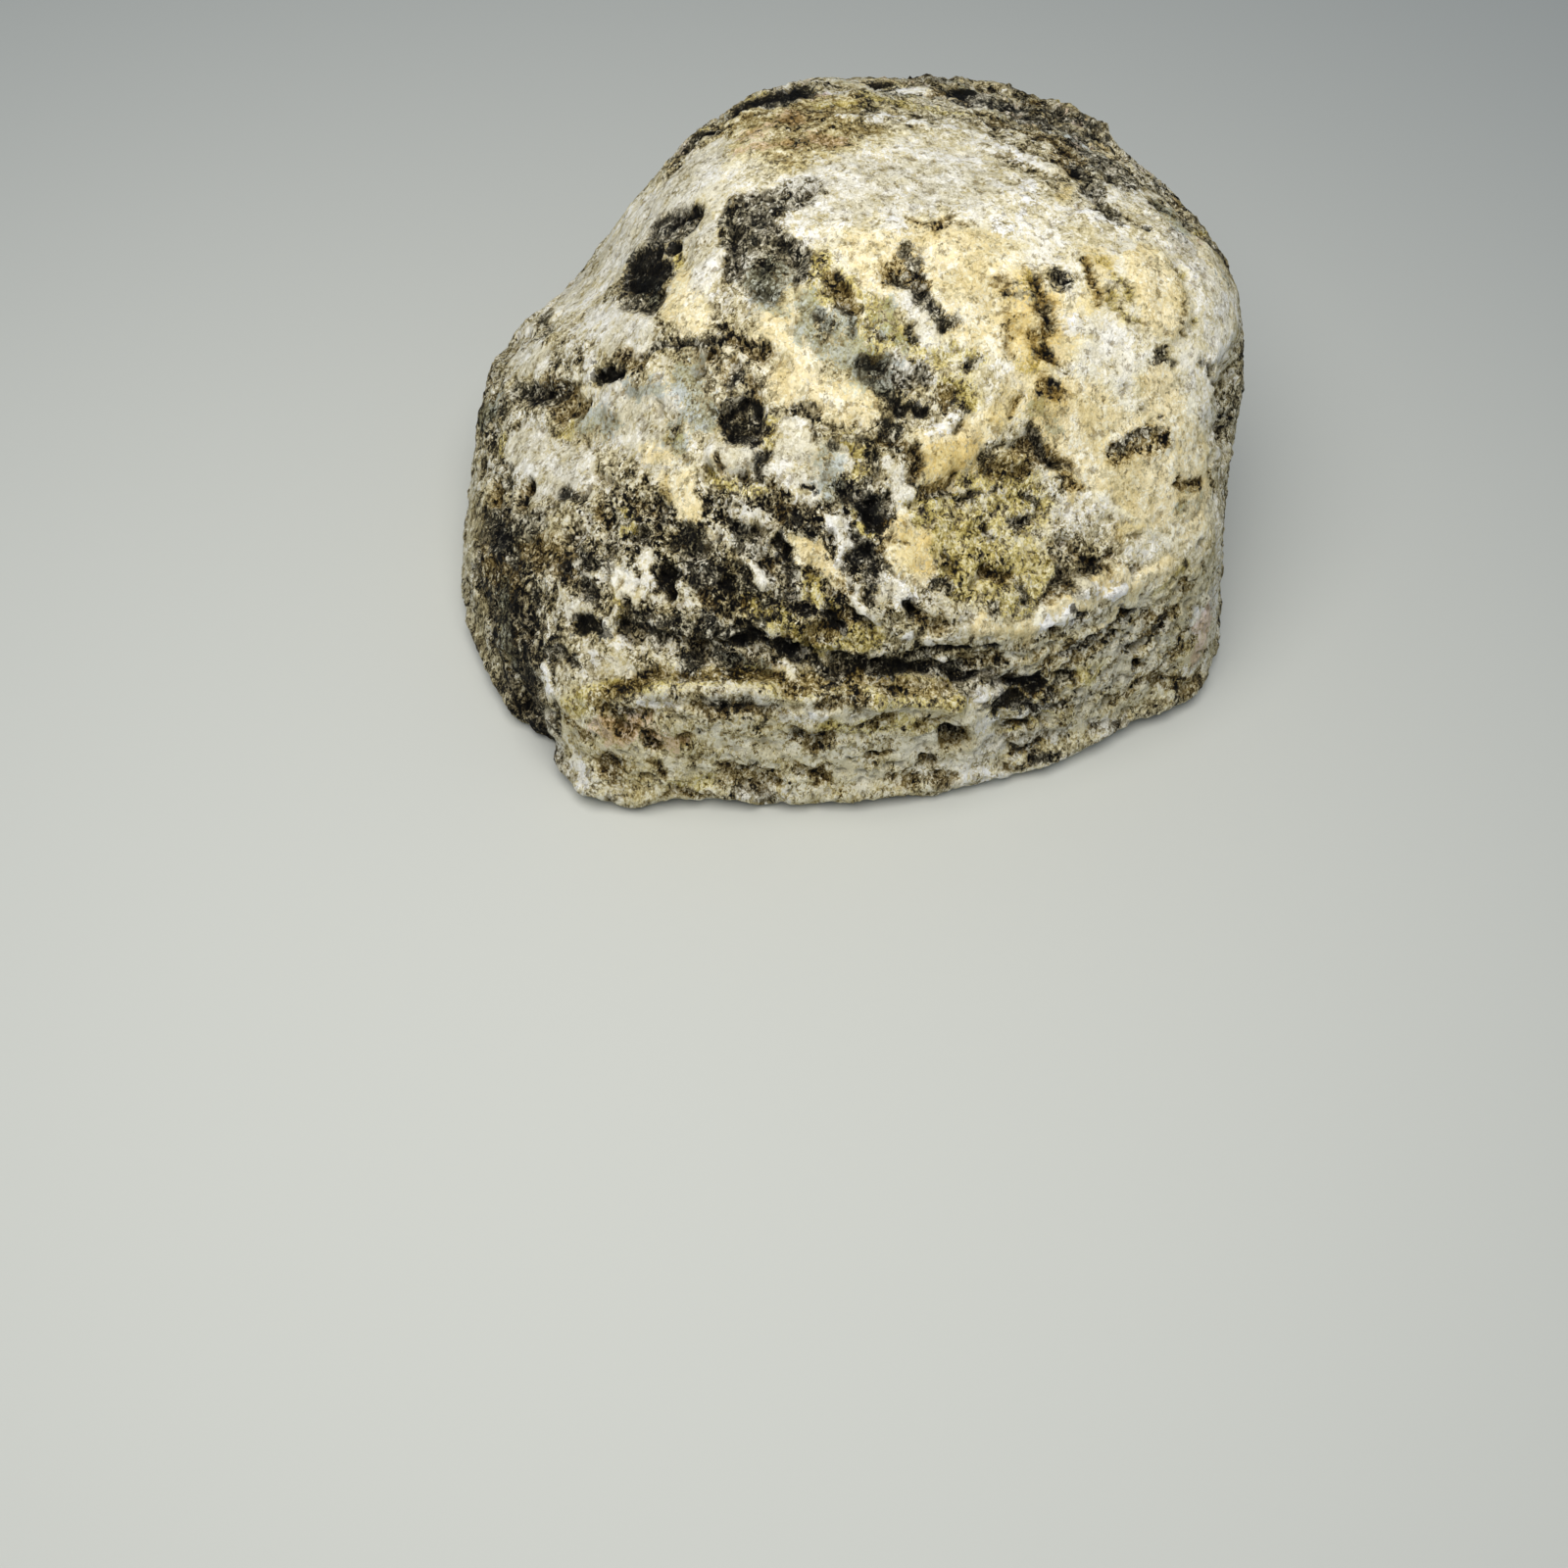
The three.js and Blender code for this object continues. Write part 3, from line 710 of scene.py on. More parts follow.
        Mark(CREAM, (303, 14), (318, 16), 1.5, 0.2),
        Mark(BLACK, (288, 10), (295, 10), 0.6, -0.3),
        Mark(BROWN, (291, 7), (297, 6), 1.0, -0.3),
        Mark(BLACK, (289, 4), (293, 4), 0.5, -0.3),
        Mark(DARK, (230, 1), (234, 3), 1.2, -0.3),
        Mark(PALE, (242, 8), (247, 7), 1.2, 0.3),
        Mark(BROWN, (246, 11), (249, 10), 0.7, 0.3),
        Mark(PALE, (252, 11), (254, 12), 0.7, 0.5),
        Mark(PALE, (254, 9), (258, 8), 1.0, 0.4),
        Mark(WHITE, (261, 8), (263, 7), 0.9, 0.5),
        Mark(PALE, (268, 10), (272, 11), 0.9, 0.3),
        Mark(PALE, (276, 10), (279, 9), 0.8, 0.5),
        Mark(GREY, (281, 8), (284, 8), 0.8, 0.4),
        Mark(PALE, (287, 8), (290, 8), 0.7, 0.3),
        Mark(BLUE, (255, 8), (259, 7), 0.6),
        Mark(CHALK, (237, 4), (241, 5), 0.8),
    ],
    "the lip": [
        Mark(None, (238, 1), (246, 4), 1.4, 0.8, 1.3, True),
        Mark(None, (246, 4), (260, 5), 1.4, 0.9, 1.3, True),
        Mark(None, (260, 5), (276, 4), 1.4, 0.9, 1.3, True),
        Mark(None, (276, 4), (289, 1), 1.4, 0.9, 1.3, True),
        Mark(None, (289, 1), (293, -9), 1.7, 0.6, 1.0, True),
        Mark(OLIVE, (238, 1), (247, 6), 1.2, 0.0, 1.0, True),
        Mark(OLIVE, (247, 6), (262, 7), 1.0, 0.0, 1.0, True),
        Mark(OLIVE, (262, 6), (276, 6), 1.5, 0.0, 1.0, True),
        Mark(OLIVE, (276, 5), (290, 2), 1.6, 0.0, 1.0, True),
        Mark(BROWN, (239, 1), (246, 6), 0.9, 0.0, 1.0, True),
        Mark(BROWN, (248, 6), (261, 7), 0.7, 0.0, 1.0, True),
        Mark(BROWN, (263, 6), (276, 7), 1.1, 0.0, 1.0, True),
        Mark(BROWN, (277, 5), (287, 3), 0.9, 0.0, 1.0, True),
    ],
    "the front wall": [
        Mark(OLIVE, (236, -2), (240, 1), 1.4, 0.0),
        Mark(BROWN, (236, -4), (238, -5), 1.0, 0.0),
        Mark(PINK, (241, -3), (247, -2), 1.5),
        Mark(BROWN, (241, 0), (244, -2), 1.7, -0.5),
        Mark(BROWN, (243, -1), (246, 1), 1.0, -0.4),
        Mark(PINK, (246, -1), (249, -4), 1.3),
        Mark(DARK, (242, 0), (244, 0), 0.4, 0.0),
        Mark(BROWN, (246, -3), (247, -5), 1.1, -0.5),
        Mark(BROWN, (250, -3), (251, -4), 0.5, -0.3),
        Mark(BROWN, (242, -8), (243, -10), 1.6, -0.6),
        Mark(DARK, (243, -8), (243, -9), 0.4, 0.0),
        Mark(BROWN, (248, -8), (249, -10), 0.7, -0.4),
        Mark(OLIVE, (250, -12), (254, -12), 1.1, -0.3),
        Mark(DARK, (252, 4), (255, 3), 0.6, -0.5),
        Mark(DARK, (257, 4), (260, 3), 0.5, -0.4),
        Mark(BROWN, (251, 3), (255, 2), 1.1, -0.3),
        Mark(BROWN, (257, 3), (260, 2), 1.1, -0.3),
        Mark(DARK, (256, 1), (258, 1), 0.3, -0.2),
        Mark(PALE, (253, 0), (260, -2), 1.6),
        Mark(WHITE, (263, 1), (268, 2), 0.6, 0.1),
        Mark(DARK, (252, -1), (252, -2), 0.35, -0.4),
        Mark(BROWN, (265, -3), (269, -5), 1.6, -0.8),
        Mark(DARK, (265, -3), (267, -3), 0.9, -0.3),
        Mark(BROWN, (268, 4), (273, 5), 1.1, -0.3),
        Mark(DARK, (270, 5), (272, 5), 0.35, -0.2),
        Mark(DARK, (258, -10), (260, -9), 0.5, -0.7),
        Mark(BROWN, (257, -11), (261, -13), 1.8, -0.5),
        Mark(SLATE, (258, -14), (263, -16), 1.5, -0.4),
        Mark(BROWN, (266, -11), (270, -13), 1.2, -0.4),
        Mark(DARK, (273, -9), (274, -10), 0.35, -0.4),
        Mark(OLIVE, (269, -1), (276, -3), 1.4, 0.0),
        Mark(BROWN, (276, -1), (279, 0), 0.8, -0.2),
        Mark(BROWN, (283, -3), (286, -2), 0.9, -0.2),
        Mark(OLIVE, (277, -1), (286, -3), 1.3, 0.0),
        Mark(BROWN, (289, -6), (291, -9), 1.6, -1.5, 2),
        Mark(DARK, (290, -6), (291, -8), 1.0, -0.3),
        Mark(BROWN, (286, -12), (287, -12), 0.9, -0.8, 2),
        Mark(DARK, (287, -11), (287, -12), 0.4, 0.0),
        Mark(BROWN, (288, -15), (290, -16), 1.1, -0.5),
        Mark(BROWN, (249, -13), (254, -15), 1.0, -0.3),
        Mark(BROWN, (276, -9), (279, -9), 0.7, -0.3),
        Mark(BROWN, (280, -14), (284, -15), 1.0, -0.3),
        Mark(PALE, (270, -5), (276, -7), 1.4),
        Mark(PALE, (277, -6), (284, -5), 1.4),
        Mark(PALE, (276, -12), (283, -11), 1.3),
        Mark(PALE, (243, 2), (250, 3), 1.8, 0.2),
        Mark(WHITE, (245, 2), (249, 3), 0.6, 0.1),
        Mark(PALE, (252, 5), (262, 4), 0.8, 0.2),
        Mark(PALE, (262, 1), (269, -1), 1.3),
        Mark(PALE, (251, -6), (258, -8), 1.2),
        Mark(PALE, (259, -6), (263, -8), 1.0),
        Mark(PALE, (264, -14), (272, -17), 1.2),
    ],
    "the right corner": [
        Mark(None, (294, 4), (301, -1), 1.2, -0.9),
        Mark(None, (298, -4), (299, -16), 1.5, -0.7),
        Mark(BLACK, (297, -2), (301, -3), 1.4, -0.6),
        Mark(BLACK, (300, 1), (303, -1), 1.0, -0.4),
        Mark(DARK, (297, 3), (300, 2), 1.2, -0.3),
        Mark(DARK, (303, -5), (305, -8), 0.7, -0.2),
        Mark(WHITE, (294, -5), (302, -6), 1.1, 0.2),
        Mark(GREY, (291, 3), (294, 3), 1.1, 0.5),
        Mark(WHITE, (293, 1), (296, 1), 0.7, 0.4),
        Mark(DARK, (298, 2), (304, 1), 0.5, -0.5),
        Mark(PALE, (297, 0), (303, 3), 0.5, 0.2),
        Mark(PALE, (302, -2), (307, 1), 0.7, 0.2),
        Mark(PALE, (309, 1), (315, 3), 0.8, 0.2),
        Mark(DARK, (307, -2), (309, -1), 1.2, -0.5),
        Mark(OLIVE, (310, -2), (313, -1), 1.4, 0.0),
        Mark(BROWN, (305, 4), (310, 5), 1.1, -0.2),
        Mark(DARK, (309, 4), (310, 4), 0.5, -0.3),
        Mark(BROWN, (311, 3), (316, 5), 1.3, -0.2),
        Mark(DARK, (317, 4), (318, 4), 0.6, -0.4),
        Mark(DARK, (319, 6), (320, 6), 0.6, -0.5),
        Mark(DARK, (318, 8), (319, 8), 0.5, -0.5),
        Mark(PALE, (316, -1), (322, -3), 1.4),
        Mark(PALE, (324, -3), (329, -4), 1.2),
        Mark(SLATE, (297, -11), (308, -12), 1.6, -0.2),
        Mark(BROWN, (326, -9), (332, -13), 1.5, -0.2),
        Mark(PALE, (302, -5), (308, -3), 0.5, 0.1),
        Mark(GREY, (303, -5), (309, -6), 0.9, -0.2),
        Mark(OLIVE, (300, -9), (308, -6), 0.7, -0.3),
        Mark(PALE, (303, -10), (311, -8), 0.8, 0.1),
        Mark(DARK, (300, -8), (303, -9), 0.5, -0.3),
        Mark(DARK, (301, -13), (305, -13), 0.7, -0.4),
        Mark(DARK, (304, -16), (309, -16), 0.6, -0.4),
        Mark(BROWN, (300, -16), (304, -16), 0.8, -0.2),
        Mark(WHITE, (293, -16), (300, -18), 0.7, 0.2),
        Mark(PALE, (309, -13), (316, -12), 1.0, 0.2),
        Mark(SLATE, (315, -13), (321, -15), 1.1, -0.3),
        Mark(BLACK, (322, -4), (323, -5), 0.6, -0.8, 2),
        Mark(DARK, (316, 4), (318, 5), 0.5, -0.5),
        Mark(DARK, (318, 6), (320, 8), 0.4, -0.3),
        Mark(DARK, (311, 5), (314, 6), 0.4, -0.3),
        Mark(PALE, (306, 5), (313, 8), 0.7, 0.2),
        Mark(CREAM, (314, 8), (321, 11), 0.7, 0.2),
        Mark(BROWN, (324, 1), (328, 3), 1.3, -0.2),
        Mark(DARK, (325, 1), (327, 2), 0.7, -0.5),
        Mark(DARK, (320, 0), (322, 0), 0.6, -0.4),
        Mark(BROWN, (322, 4), (330, 5), 0.8, 0.0),
        Mark(BROWN, (330, -3), (330, -5), 0.6, 0.0),
        Mark(BROWN, (319, -10), (323, -9), 0.9, -0.3),
        Mark(PALE, (325, -7), (331, -6), 1.3, 0.1),
        Mark(WHITE, (308, -18), (322, -17), 0.6, 0.1),
        Mark(WHITE, (334, -1), (335, -7), 0.9, 0.2),
        Mark(PINK, (336, -3), (335, -8), 1.2),
        Mark(BROWN, (336, -9), (336, -12), 0.6, -0.2),
        Mark(WHITE, (331, -9), (333, -11), 0.6, 0.1),
    ],
}


@dataclass(frozen=True)
class Shade:
    """What one tone does to the crust: how pale, how rough and how high it makes it.

    The rise is for one millimetre of a mark's width.
    """

    tone: Tone
    cover: float
    roughness: float
    strength: float = 1.0
    rise: float = 0.0


SHADES = [
    Shade(Tone.PALE, 0.7, 1.1, 0.8, 0.1),
    Shade(Tone.OLIVE, 0.3, 0.75, 0.8),
    Shade(Tone.CHALK, 0.64, 0.35, rise=0.1),
    Shade(Tone.CREAM, 0.66, 0.3, rise=0.12),
    Shade(Tone.GREY, -0.05, 1.1, 0.9),
    Shade(Tone.BLUE, 0.35, 0.6, 0.6),
    Shade(Tone.BROWN, -0.3, 1.0, 0.7, -0.15),
    Shade(Tone.DARK, -0.15, 1.1, 0.7, -0.25),
    Shade(Tone.BLACK, -0.4, 0.9, 0.8, -0.5),
    Shade(Tone.WHITE, 0.85, 0.5, rise=0.25),
]


@dataclass(frozen=True)
class Patches:
    """Patches of one tone that noise places.

    The grain is the size of one patch in millimetres. The higher the level that the noise
    has to pass, the rarer the patches are.
    """

    tone: Tone
    grain: float
    level: float


SCATTERED = [
    Patches(Tone.CHALK, 8.0, 0.55),
    Patches(Tone.CREAM, 6.5, 0.6),
    Patches(Tone.DARK, 4.2, 0.62),
    Patches(Tone.BROWN, 5.0, 0.66),
    Patches(Tone.BLUE, 4.6, 0.72),
    Patches(Tone.OLIVE, 7.0, 0.6),
    Patches(Tone.GREY, 6.0, 0.6),
    Patches(Tone.WHITE, 2.8, 0.75),
    Patches(Tone.RUST, 3.0, 0.85),
    Patches(Tone.PINK, 3.4, 0.85),
]

MOTTLES = [
    Patches(Tone.PALE, 2.8, 0.42),
    Patches(Tone.BROWN, 2.6, 0.48),
    Patches(Tone.DARK, 1.7, 0.6),
]


@dataclass
class SurfaceNet:
    """The net of points that the rind is drawn on: a square cap over rows of wall."""

    cap_cells: int = 152
    wall_rows: int = 114
    cap_tilt: float = math.radians(54)
    around: int = field(init=False)

    def __post_init__(self) -> None:
        """Counts the points round the stone."""
        self.around = 4 * self.cap_cells

    def cap_ways(self) -> tuple[np.ndarray, np.ndarray]:
        """Places the cap's points, row by row.

        Returns:
            The bearing and the tilt from straight up of each point, in radians.
        """
        line = np.linspace(-1.0, 1.0, self.cap_cells + 1)
        across, along = np.meshgrid(line, line, indexing="ij")
        reach = np.maximum(np.abs(across), np.abs(along))
        safe = np.where(reach == 0, 1.0, reach)
        quarter = math.pi / 4
        wide = np.abs(across) >= np.abs(along)
        by_x = quarter * along / np.where(across == 0, safe, across)
        by_x = by_x + np.where(across < 0, math.pi, 0.0)
        by_y = math.pi / 2 - quarter * across / np.where(along == 0, safe, along)
        by_y = by_y + np.where(along < 0, math.pi, 0.0)
        bearing = np.where(wide, by_x, by_y)
        return bearing.ravel(), (reach * self.cap_tilt).ravel()

    def cap_border(self) -> np.ndarray:
        """Lists the cap's outer points anticlockwise, seen from above.

        Returns:
            The numbers of the points, from the corner at +X and -Y.
        """
        last = self.cap_cells
        steps = range(last)
        ring = [(last, j) for j in steps]
        ring += [(last - i, last) for i in steps]
        ring += [(0, last - j) for j in steps]
        ring += [(i, 0) for i in steps]
        return np.array([i * (last + 1) + j for i, j in ring])

    def rings(self) -> np.ndarray:
        """Lists every ring of the wall, the cap's border first.

        Returns:
            A row of point numbers for each ring.
        """
        first = (self.cap_cells + 1) ** 2
        below = first + np.arange(self.wall_rows * self.around)
        return np.vstack([self.cap_border(), below.reshape(self.wall_rows, self.around)])

    def quads(self) -> np.ndarray:
        """Joins the points into four-sided faces that look outwards.

        Returns:
            Four point numbers for each face.
        """
        side = self.cap_cells + 1
        index = np.arange(side * side).reshape(side, side)
        cap = np.stack([index[:-1, :-1], index[1:, :-1], index[1:, 1:], index[:-1, 1:]], -1)
        rings = self.rings()
        ahead = np.roll(rings, -1, axis=1)
        wall = np.stack([rings[:-1], rings[1:], ahead[1:], ahead[:-1]], -1)
        return np.vstack([cap.reshape(-1, 4), wall.reshape(-1, 4)])


class Links:
    """Which points of a net are neighbours, for spreading values along the surface."""

    def __init__(self, quads: np.ndarray, count: int) -> None:
        """Collects the edges of the faces.

        Args:
            quads: four point numbers for each face.
            count: how many points there are.
        """
        edges = np.vstack([quads[:, [i, (i + 1) % 4]] for i in range(4)])
        edges = np.unique(np.sort(edges, axis=1), axis=0)
        self.tails = np.concatenate([edges[:, 0], edges[:, 1]])
        self.heads = np.concatenate([edges[:, 1], edges[:, 0]])
        self.count = count
        self.degree = np.bincount(self.tails, minlength=count)

    def spread(self, values: np.ndarray, rounds: int, pinned: np.ndarray) -> np.ndarray:
        """Evens values out between neighbours.

        Args:
            values: one number for each point.
            rounds: how many times to do it.
            pinned: the points that keep their value.

        Returns:
            The evened values.
        """
        held = values[pinned]
        for _ in range(rounds):
            total = np.bincount(self.tails, values[self.heads], self.count)
            values = 0.5 * values + 0.5 * total / self.degree
            values[pinned] = held
        return values


def normals_of(points: np.ndarray, quads: np.ndarray) -> np.ndarray:
    """Works out the outward direction at each point of a net.

    Args:
        points: rows of x, y and z.
        quads: four point numbers for each face.

    Returns:
        One unit direction for each point.
    """
    corners = points[quads]
    face = np.cross(corners[:, 2] - corners[:, 0], corners[:, 3] - corners[:, 1])
    total = np.zeros_like(points)
    for corner in range(4):
        for axis in range(3):
            total[:, axis] += np.bincount(quads[:, corner], face[:, axis], len(points))
    return total / np.linalg.norm(total, axis=1, keepdims=True)


@dataclass
class Rind:
    """The rough outside of the stone: its shape, its relief and its fields of colour.

    Grains, rises and depths are in millimetres. Roundings and most reaches are the times
    that values are evened out between neighbours. A pair is a plain value and its swing, or
    the two ends of a range. The hidden side's bearing and edge and the crown's edge are in
    degrees.
    """

    solid: bpy.types.Object
    heart: float = 14.0
    cut_height: float = 0.01
    net: SurfaceNet = field(default_factory=SurfaceNet)
    facet_rounding: int = 30
    edge_rounding: int = 12
    warp_grain: float = 2.8
    warp_reach: float = 1.1
    cover_grain: float = 15.0
    cover_range: tuple[float, float] = (0.25, 0.6)
    roughness_grain: float = 13.0
    roughness_range: tuple[float, float] = (0.85, 0.5)
    region_steepness: int = 4
    rough_limits: tuple[float, float] = (0.2, 1.3)
    busy_range: tuple[float, float] = (0.1, 0.9)
    busy_limits: tuple[float, float] = (0.25, 1.5)
    crumb_grain: float = 2.6
    crumb_share: float = 0.26
    swell_grain: float = 11.0
    swell_rise: float = 0.5
    lump_grain: float = 4.0
    lump_rise: float = 0.5
    ridge_grain: float = 1.8
    ridge_rise: float = 0.5
    ridge_level: float = 0.45
    crust_rise: float = 0.4
    crust_edge: tuple[float, float] = (-0.35, 0.35)
    mark_softness: float = 0.35
    mark_fade: float = 0.35
    mark_slope: float = 1.15
    tone_edge: tuple[float, float] = (-0.3, 0.35)
    hidden_bearing: float = 75.0
    hidden_edge: tuple[float, float] = (95.0, 65.0)
    crown_edge: tuple[float, float] = (62.0, 45.0)
    scatter_firmness: float = 1.6
    mottle_firmness: float = 2.0
    mottled_roughness: tuple[float, float] = (0.95, 1.15)
    mottled_cover: tuple[float, float] = (-0.65, -0.3)
    level_reach: int = 140
    inset: float = 0.12
    least_height: float = 0.03
    # The reach and depth of the dips and hollows that the finish darkens as painted shade.
    dip_reach: int = 6
    dip_depth: float = 0.25
    hollow_reach: int = 30
    hollow_depth: float = 0.5
    tuck: float = 1.5
    tuck_height: float = 1.2
    chipping: float = 0.9
    chip_length: float = 3.5
    bulge: float = 0.9
    box_margin: float = 4.0
    pit_count: int = 700
    pit_radius: tuple[float, float] = (0.35, 0.9)
    pit_depth: tuple[float, float] = (0.5, 1.1)
    pit_steepness: float = 1.6
    quads: np.ndarray = field(init=False)
    ways: np.ndarray = field(init=False)
    rim: np.ndarray = field(init=False)
    links: Links = field(init=False)
    points: np.ndarray = field(init=False)
    bed: np.ndarray = field(init=False)
    relief: np.ndarray = field(init=False)
    fields: dict[str, np.ndarray] = field(init=False)

    def __post_init__(self) -> None:
        """Shapes the rind, step by step."""
        self.quads = self.net.quads()
        edge = self.cut_edge()
        self.ways = self.directions(edge)
        self.rim = self.net.rings()[-1]
        self.links = Links(self.quads, len(self.ways))
        reach = self.links.spread(self.reach_of(edge), self.facet_rounding, self.rim)
        middle = np.array([0.0, 0.0, self.heart])
        self.points = middle + self.ways * reach[:, None]
        self.bed = self.warped(self.points)
        self.relief = np.zeros(len(self.points))
        self.fields = self.tone_fields()
        self.carve()
        self.fit_box()

    def cut_edge(self) -> np.ndarray:
        """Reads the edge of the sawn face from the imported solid.

        Returns:
            The edge's distance from the upright axis on each of the net's bearings.
        """
        points = np.array([v.co for v in self.solid.data.vertices]) / MM
        low = points[points[:, 2] < self.cut_height]
        reach = np.hypot(low[:, 0], low[:, 1])
        bearing = np.arctan2(low[:, 1], low[:, 0]) % (2 * math.pi)
        order = np.argsort(bearing)
        turns = self.border_bearings()
        edge = np.interp(turns, bearing[order], reach[order], period=2 * math.pi)
        for _ in range(self.edge_rounding):
            edge = 0.5 * edge + 0.25 * (np.roll(edge, 1) + np.roll(edge, -1))
        return edge

    def border_bearings(self) -> np.ndarray:
        """Gives the bearing of each point round the cap, from 0 to a full turn."""
        bearing, _ = self.net.cap_ways()
        return bearing[self.net.cap_border()] % (2 * math.pi)

    def directions(self, edge: np.ndarray) -> np.ndarray:
        """Gives the direction of every point of the rind from the heart.

        Args:
            edge: the distance of the cut's edge on each bearing.

        Returns:
            One unit direction for each point.
        """
        bearing, tilt = self.net.cap_ways()
        turns = self.border_bearings()
        last = math.pi / 2 + np.arctan2(self.heart, edge)
        share = np.arange(1, self.net.wall_rows + 1)[:, None] / self.net.wall_rows
        wall_tilt = self.net.cap_tilt + (last - self.net.cap_tilt) * share
        bearing = np.concatenate([bearing, np.tile(turns, self.net.wall_rows)])
        tilt = np.concatenate([tilt, wall_tilt.ravel()])
        level = np.sin(tilt)
        return np.stack([level * np.cos(bearing), level * np.sin(bearing), np.cos(tilt)], 1)

    def reach_of(self, edge: np.ndarray) -> np.ndarray:
        """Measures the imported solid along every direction.

        Args:
            edge: the distance of the cut's edge on each bearing.

        Returns:
            The distance from the heart on each direction.
        """
        mesh = self.solid.data
        corners = [v.co / MM for v in mesh.vertices]
        tree = BVHTree.FromPolygons(corners, [p.vertices for p in mesh.polygons])
        middle = Vector((0.0, 0.0, self.heart))
        reach = np.array([tree.ray_cast(middle, Vector(way))[3] or 0.0 for way in self.ways])
        reach[self.rim] = np.hypot(edge, self.heart)
        return reach

    def warped(self, points: np.ndarray) -> np.ndarray:
        """Shifts points a little by noise, so that what is drawn from them is uneven.

        Args:
            points: rows of x, y and z.

        Returns:
            The shifted points.
        """
        seeds = [Seed.WARP + axis for axis in range(3)]
        moves = [GradientNoise(seed).layered(points, self.warp_grain, 3) for seed in seeds]
        return points + self.warp_reach * np.stack(moves, 1)

    def away_from(self, line: Mark | Region, even: bool = False) -> np.ndarray:
        """Measures how far the points lie from a line between two places.

        Args:
            line: a mark or a region.
            even: whether the line stays straight, in place of wandering with the grain.

        Returns:
            One distance for each point.
        """
        bed = self.points if even else self.bed
        start, end = (bed[np.argmax(self.ways @ way_to(p))] for p in (line.start, line.end))
        along = end - start
        length = max(float(along @ along), 1e-9)
        share = np.clip((bed - start) @ along / length, 0.0, 1.0)
        return np.linalg.norm(bed - start - share[:, None] * along, axis=1)

    def tone_fields(self) -> dict[str, np.ndarray]:
        """Works out how strongly each tone and texture holds at every point.

        Returns:
            One number for each point, by the name of the tone or texture.
        """
        points = self.points
        plain, swing = self.cover_range
        cover = plain + swing * GradientNoise(Seed.COVER).layered(points, self.cover_grain, 3)
        crumbs = GradientNoise(Seed.CRUMBS).layered(points, self.crumb_grain, 4, 0.7)
        plain, swing = self.roughness_range
        noise = GradientNoise(Seed.ROUGHNESS)
        rough = plain + swing * noise.layered(points, self.roughness_grain, 2)
        for region in REGIONS.values():
            away = self.away_from(region) / region.width
            share = np.exp(-(away**self.region_steepness))
            cover += share * (region.cover - cover)
            rough += share * (region.roughness - rough)
        fields = {tone.value: np.full(len(points), FAR) for tone in Tone}
        for mark in itertools.chain(*MARKS.values()):
            self.draw(mark, fields)
        self.scatter(fields)
        self.mottle(fields, rough, cover)
        for shade in SHADES:
            held = eased(fields[shade.tone.value], *self.tone_edge) * shade.strength
            cover += held * (shade.cover - cover)
            rough += held * (shade.roughness - rough)
        fields[Tone.COVER.value] = cover + self.crumb_share * crumbs * np.minimum(rough, 1.0)
        fields["rough"] = np.clip(rough, *self.rough_limits)
        plain, swing = self.busy_range
        fields["busy"] = np.clip(plain + swing * rough, *self.busy_limits)
        return fields

    def draw(self, mark: Mark, fields: dict[str, np.ndarray]) -> None:
        """Draws one mark into its tone's field and into the relief.

        Args:
            mark: the mark.
            fields: the fields of the tones, changed in place.
        """
        away = self.away_from(mark, mark.even)
        rise = mark.rise
        if mark.tone is not None:
            fade = self.mark_softness * mark.width + self.mark_fade
            depth = (mark.width - away) / fade
            held = fields[mark.tone.value]
            fields[mark.tone.value] = np.maximum(held, np.clip(depth, FAR, NEAR))
            if rise is None:
                shares = [shade.rise for shade in SHADES if shade.tone is mark.tone]
                rise = sum(shares) * mark.width
        inner = 1.0 - 1.0 / mark.steepness
        reach = mark.width * self.mark_slope
        self.relief += (rise or 0.0) * eased(away / reach, 1.0, inner)

    def sprinkle(
        self,
        fields: dict[str, np.ndarray],
        patches: Patches,
        seed: int,
        firmness: float,
        share: np.ndarray,
    ) -> None:
        """Adds patches of one tone by noise.

        Args:
            fields: the fields of the tones, changed in place.
            patches: the tone, and the size and rarity of its patches.
            seed: the seed of the noise.
            firmness: how sharp the edges of the patches are.
            share: how far each point can hold them, from 0 to 1.
        """
        noise = GradientNoise(seed).layered(self.bed, patches.grain, 3) / patches.level - 1
        spread = np.clip(noise * firmness, FAR, NEAR) * share + FAR * (1 - share)
        fields[patches.tone.value] = np.maximum(fields[patches.tone.value], spread)

    def scatter(self, fields: dict[str, np.ndarray]) -> None:
        """Adds the same tones on the sides that no mark reaches.

        Args:
            fields: the fields of the tones, changed in place.
        """
        bearing = np.degrees(np.arctan2(self.ways[:, 1], self.ways[:, 0])) % 360
        lift = np.degrees(np.arcsin(self.ways[:, 2]))
        behind = eased(np.abs(bearing - self.hidden_bearing), *self.hidden_edge)
        behind *= eased(lift, *self.crown_edge)
        for seed, patches in enumerate(SCATTERED, start=Seed.SCATTER):
            self.sprinkle(fields, patches, seed, self.scatter_firmness, behind)

    def mottle(
        self, fields: dict[str, np.ndarray], rough: np.ndarray, cover: np.ndarray
    ) -> None:
        """Adds small patches where the rind is rough, the pale ones only where it has crust.

        Args:
            fields: the fields of the tones, changed in place.
            rough: how rough the rind is at each point.
            cover: how much crust there is.
        """
        share = eased(rough, *self.mottled_roughness)
        crust = eased(cover, *self.mottled_cover)
        for seed, patches in enumerate(MOTTLES, start=Seed.MOTTLE):
            held = share * crust if patches.tone is Tone.PALE else share
            self.sprinkle(fields, patches, seed, self.mottle_firmness, held)

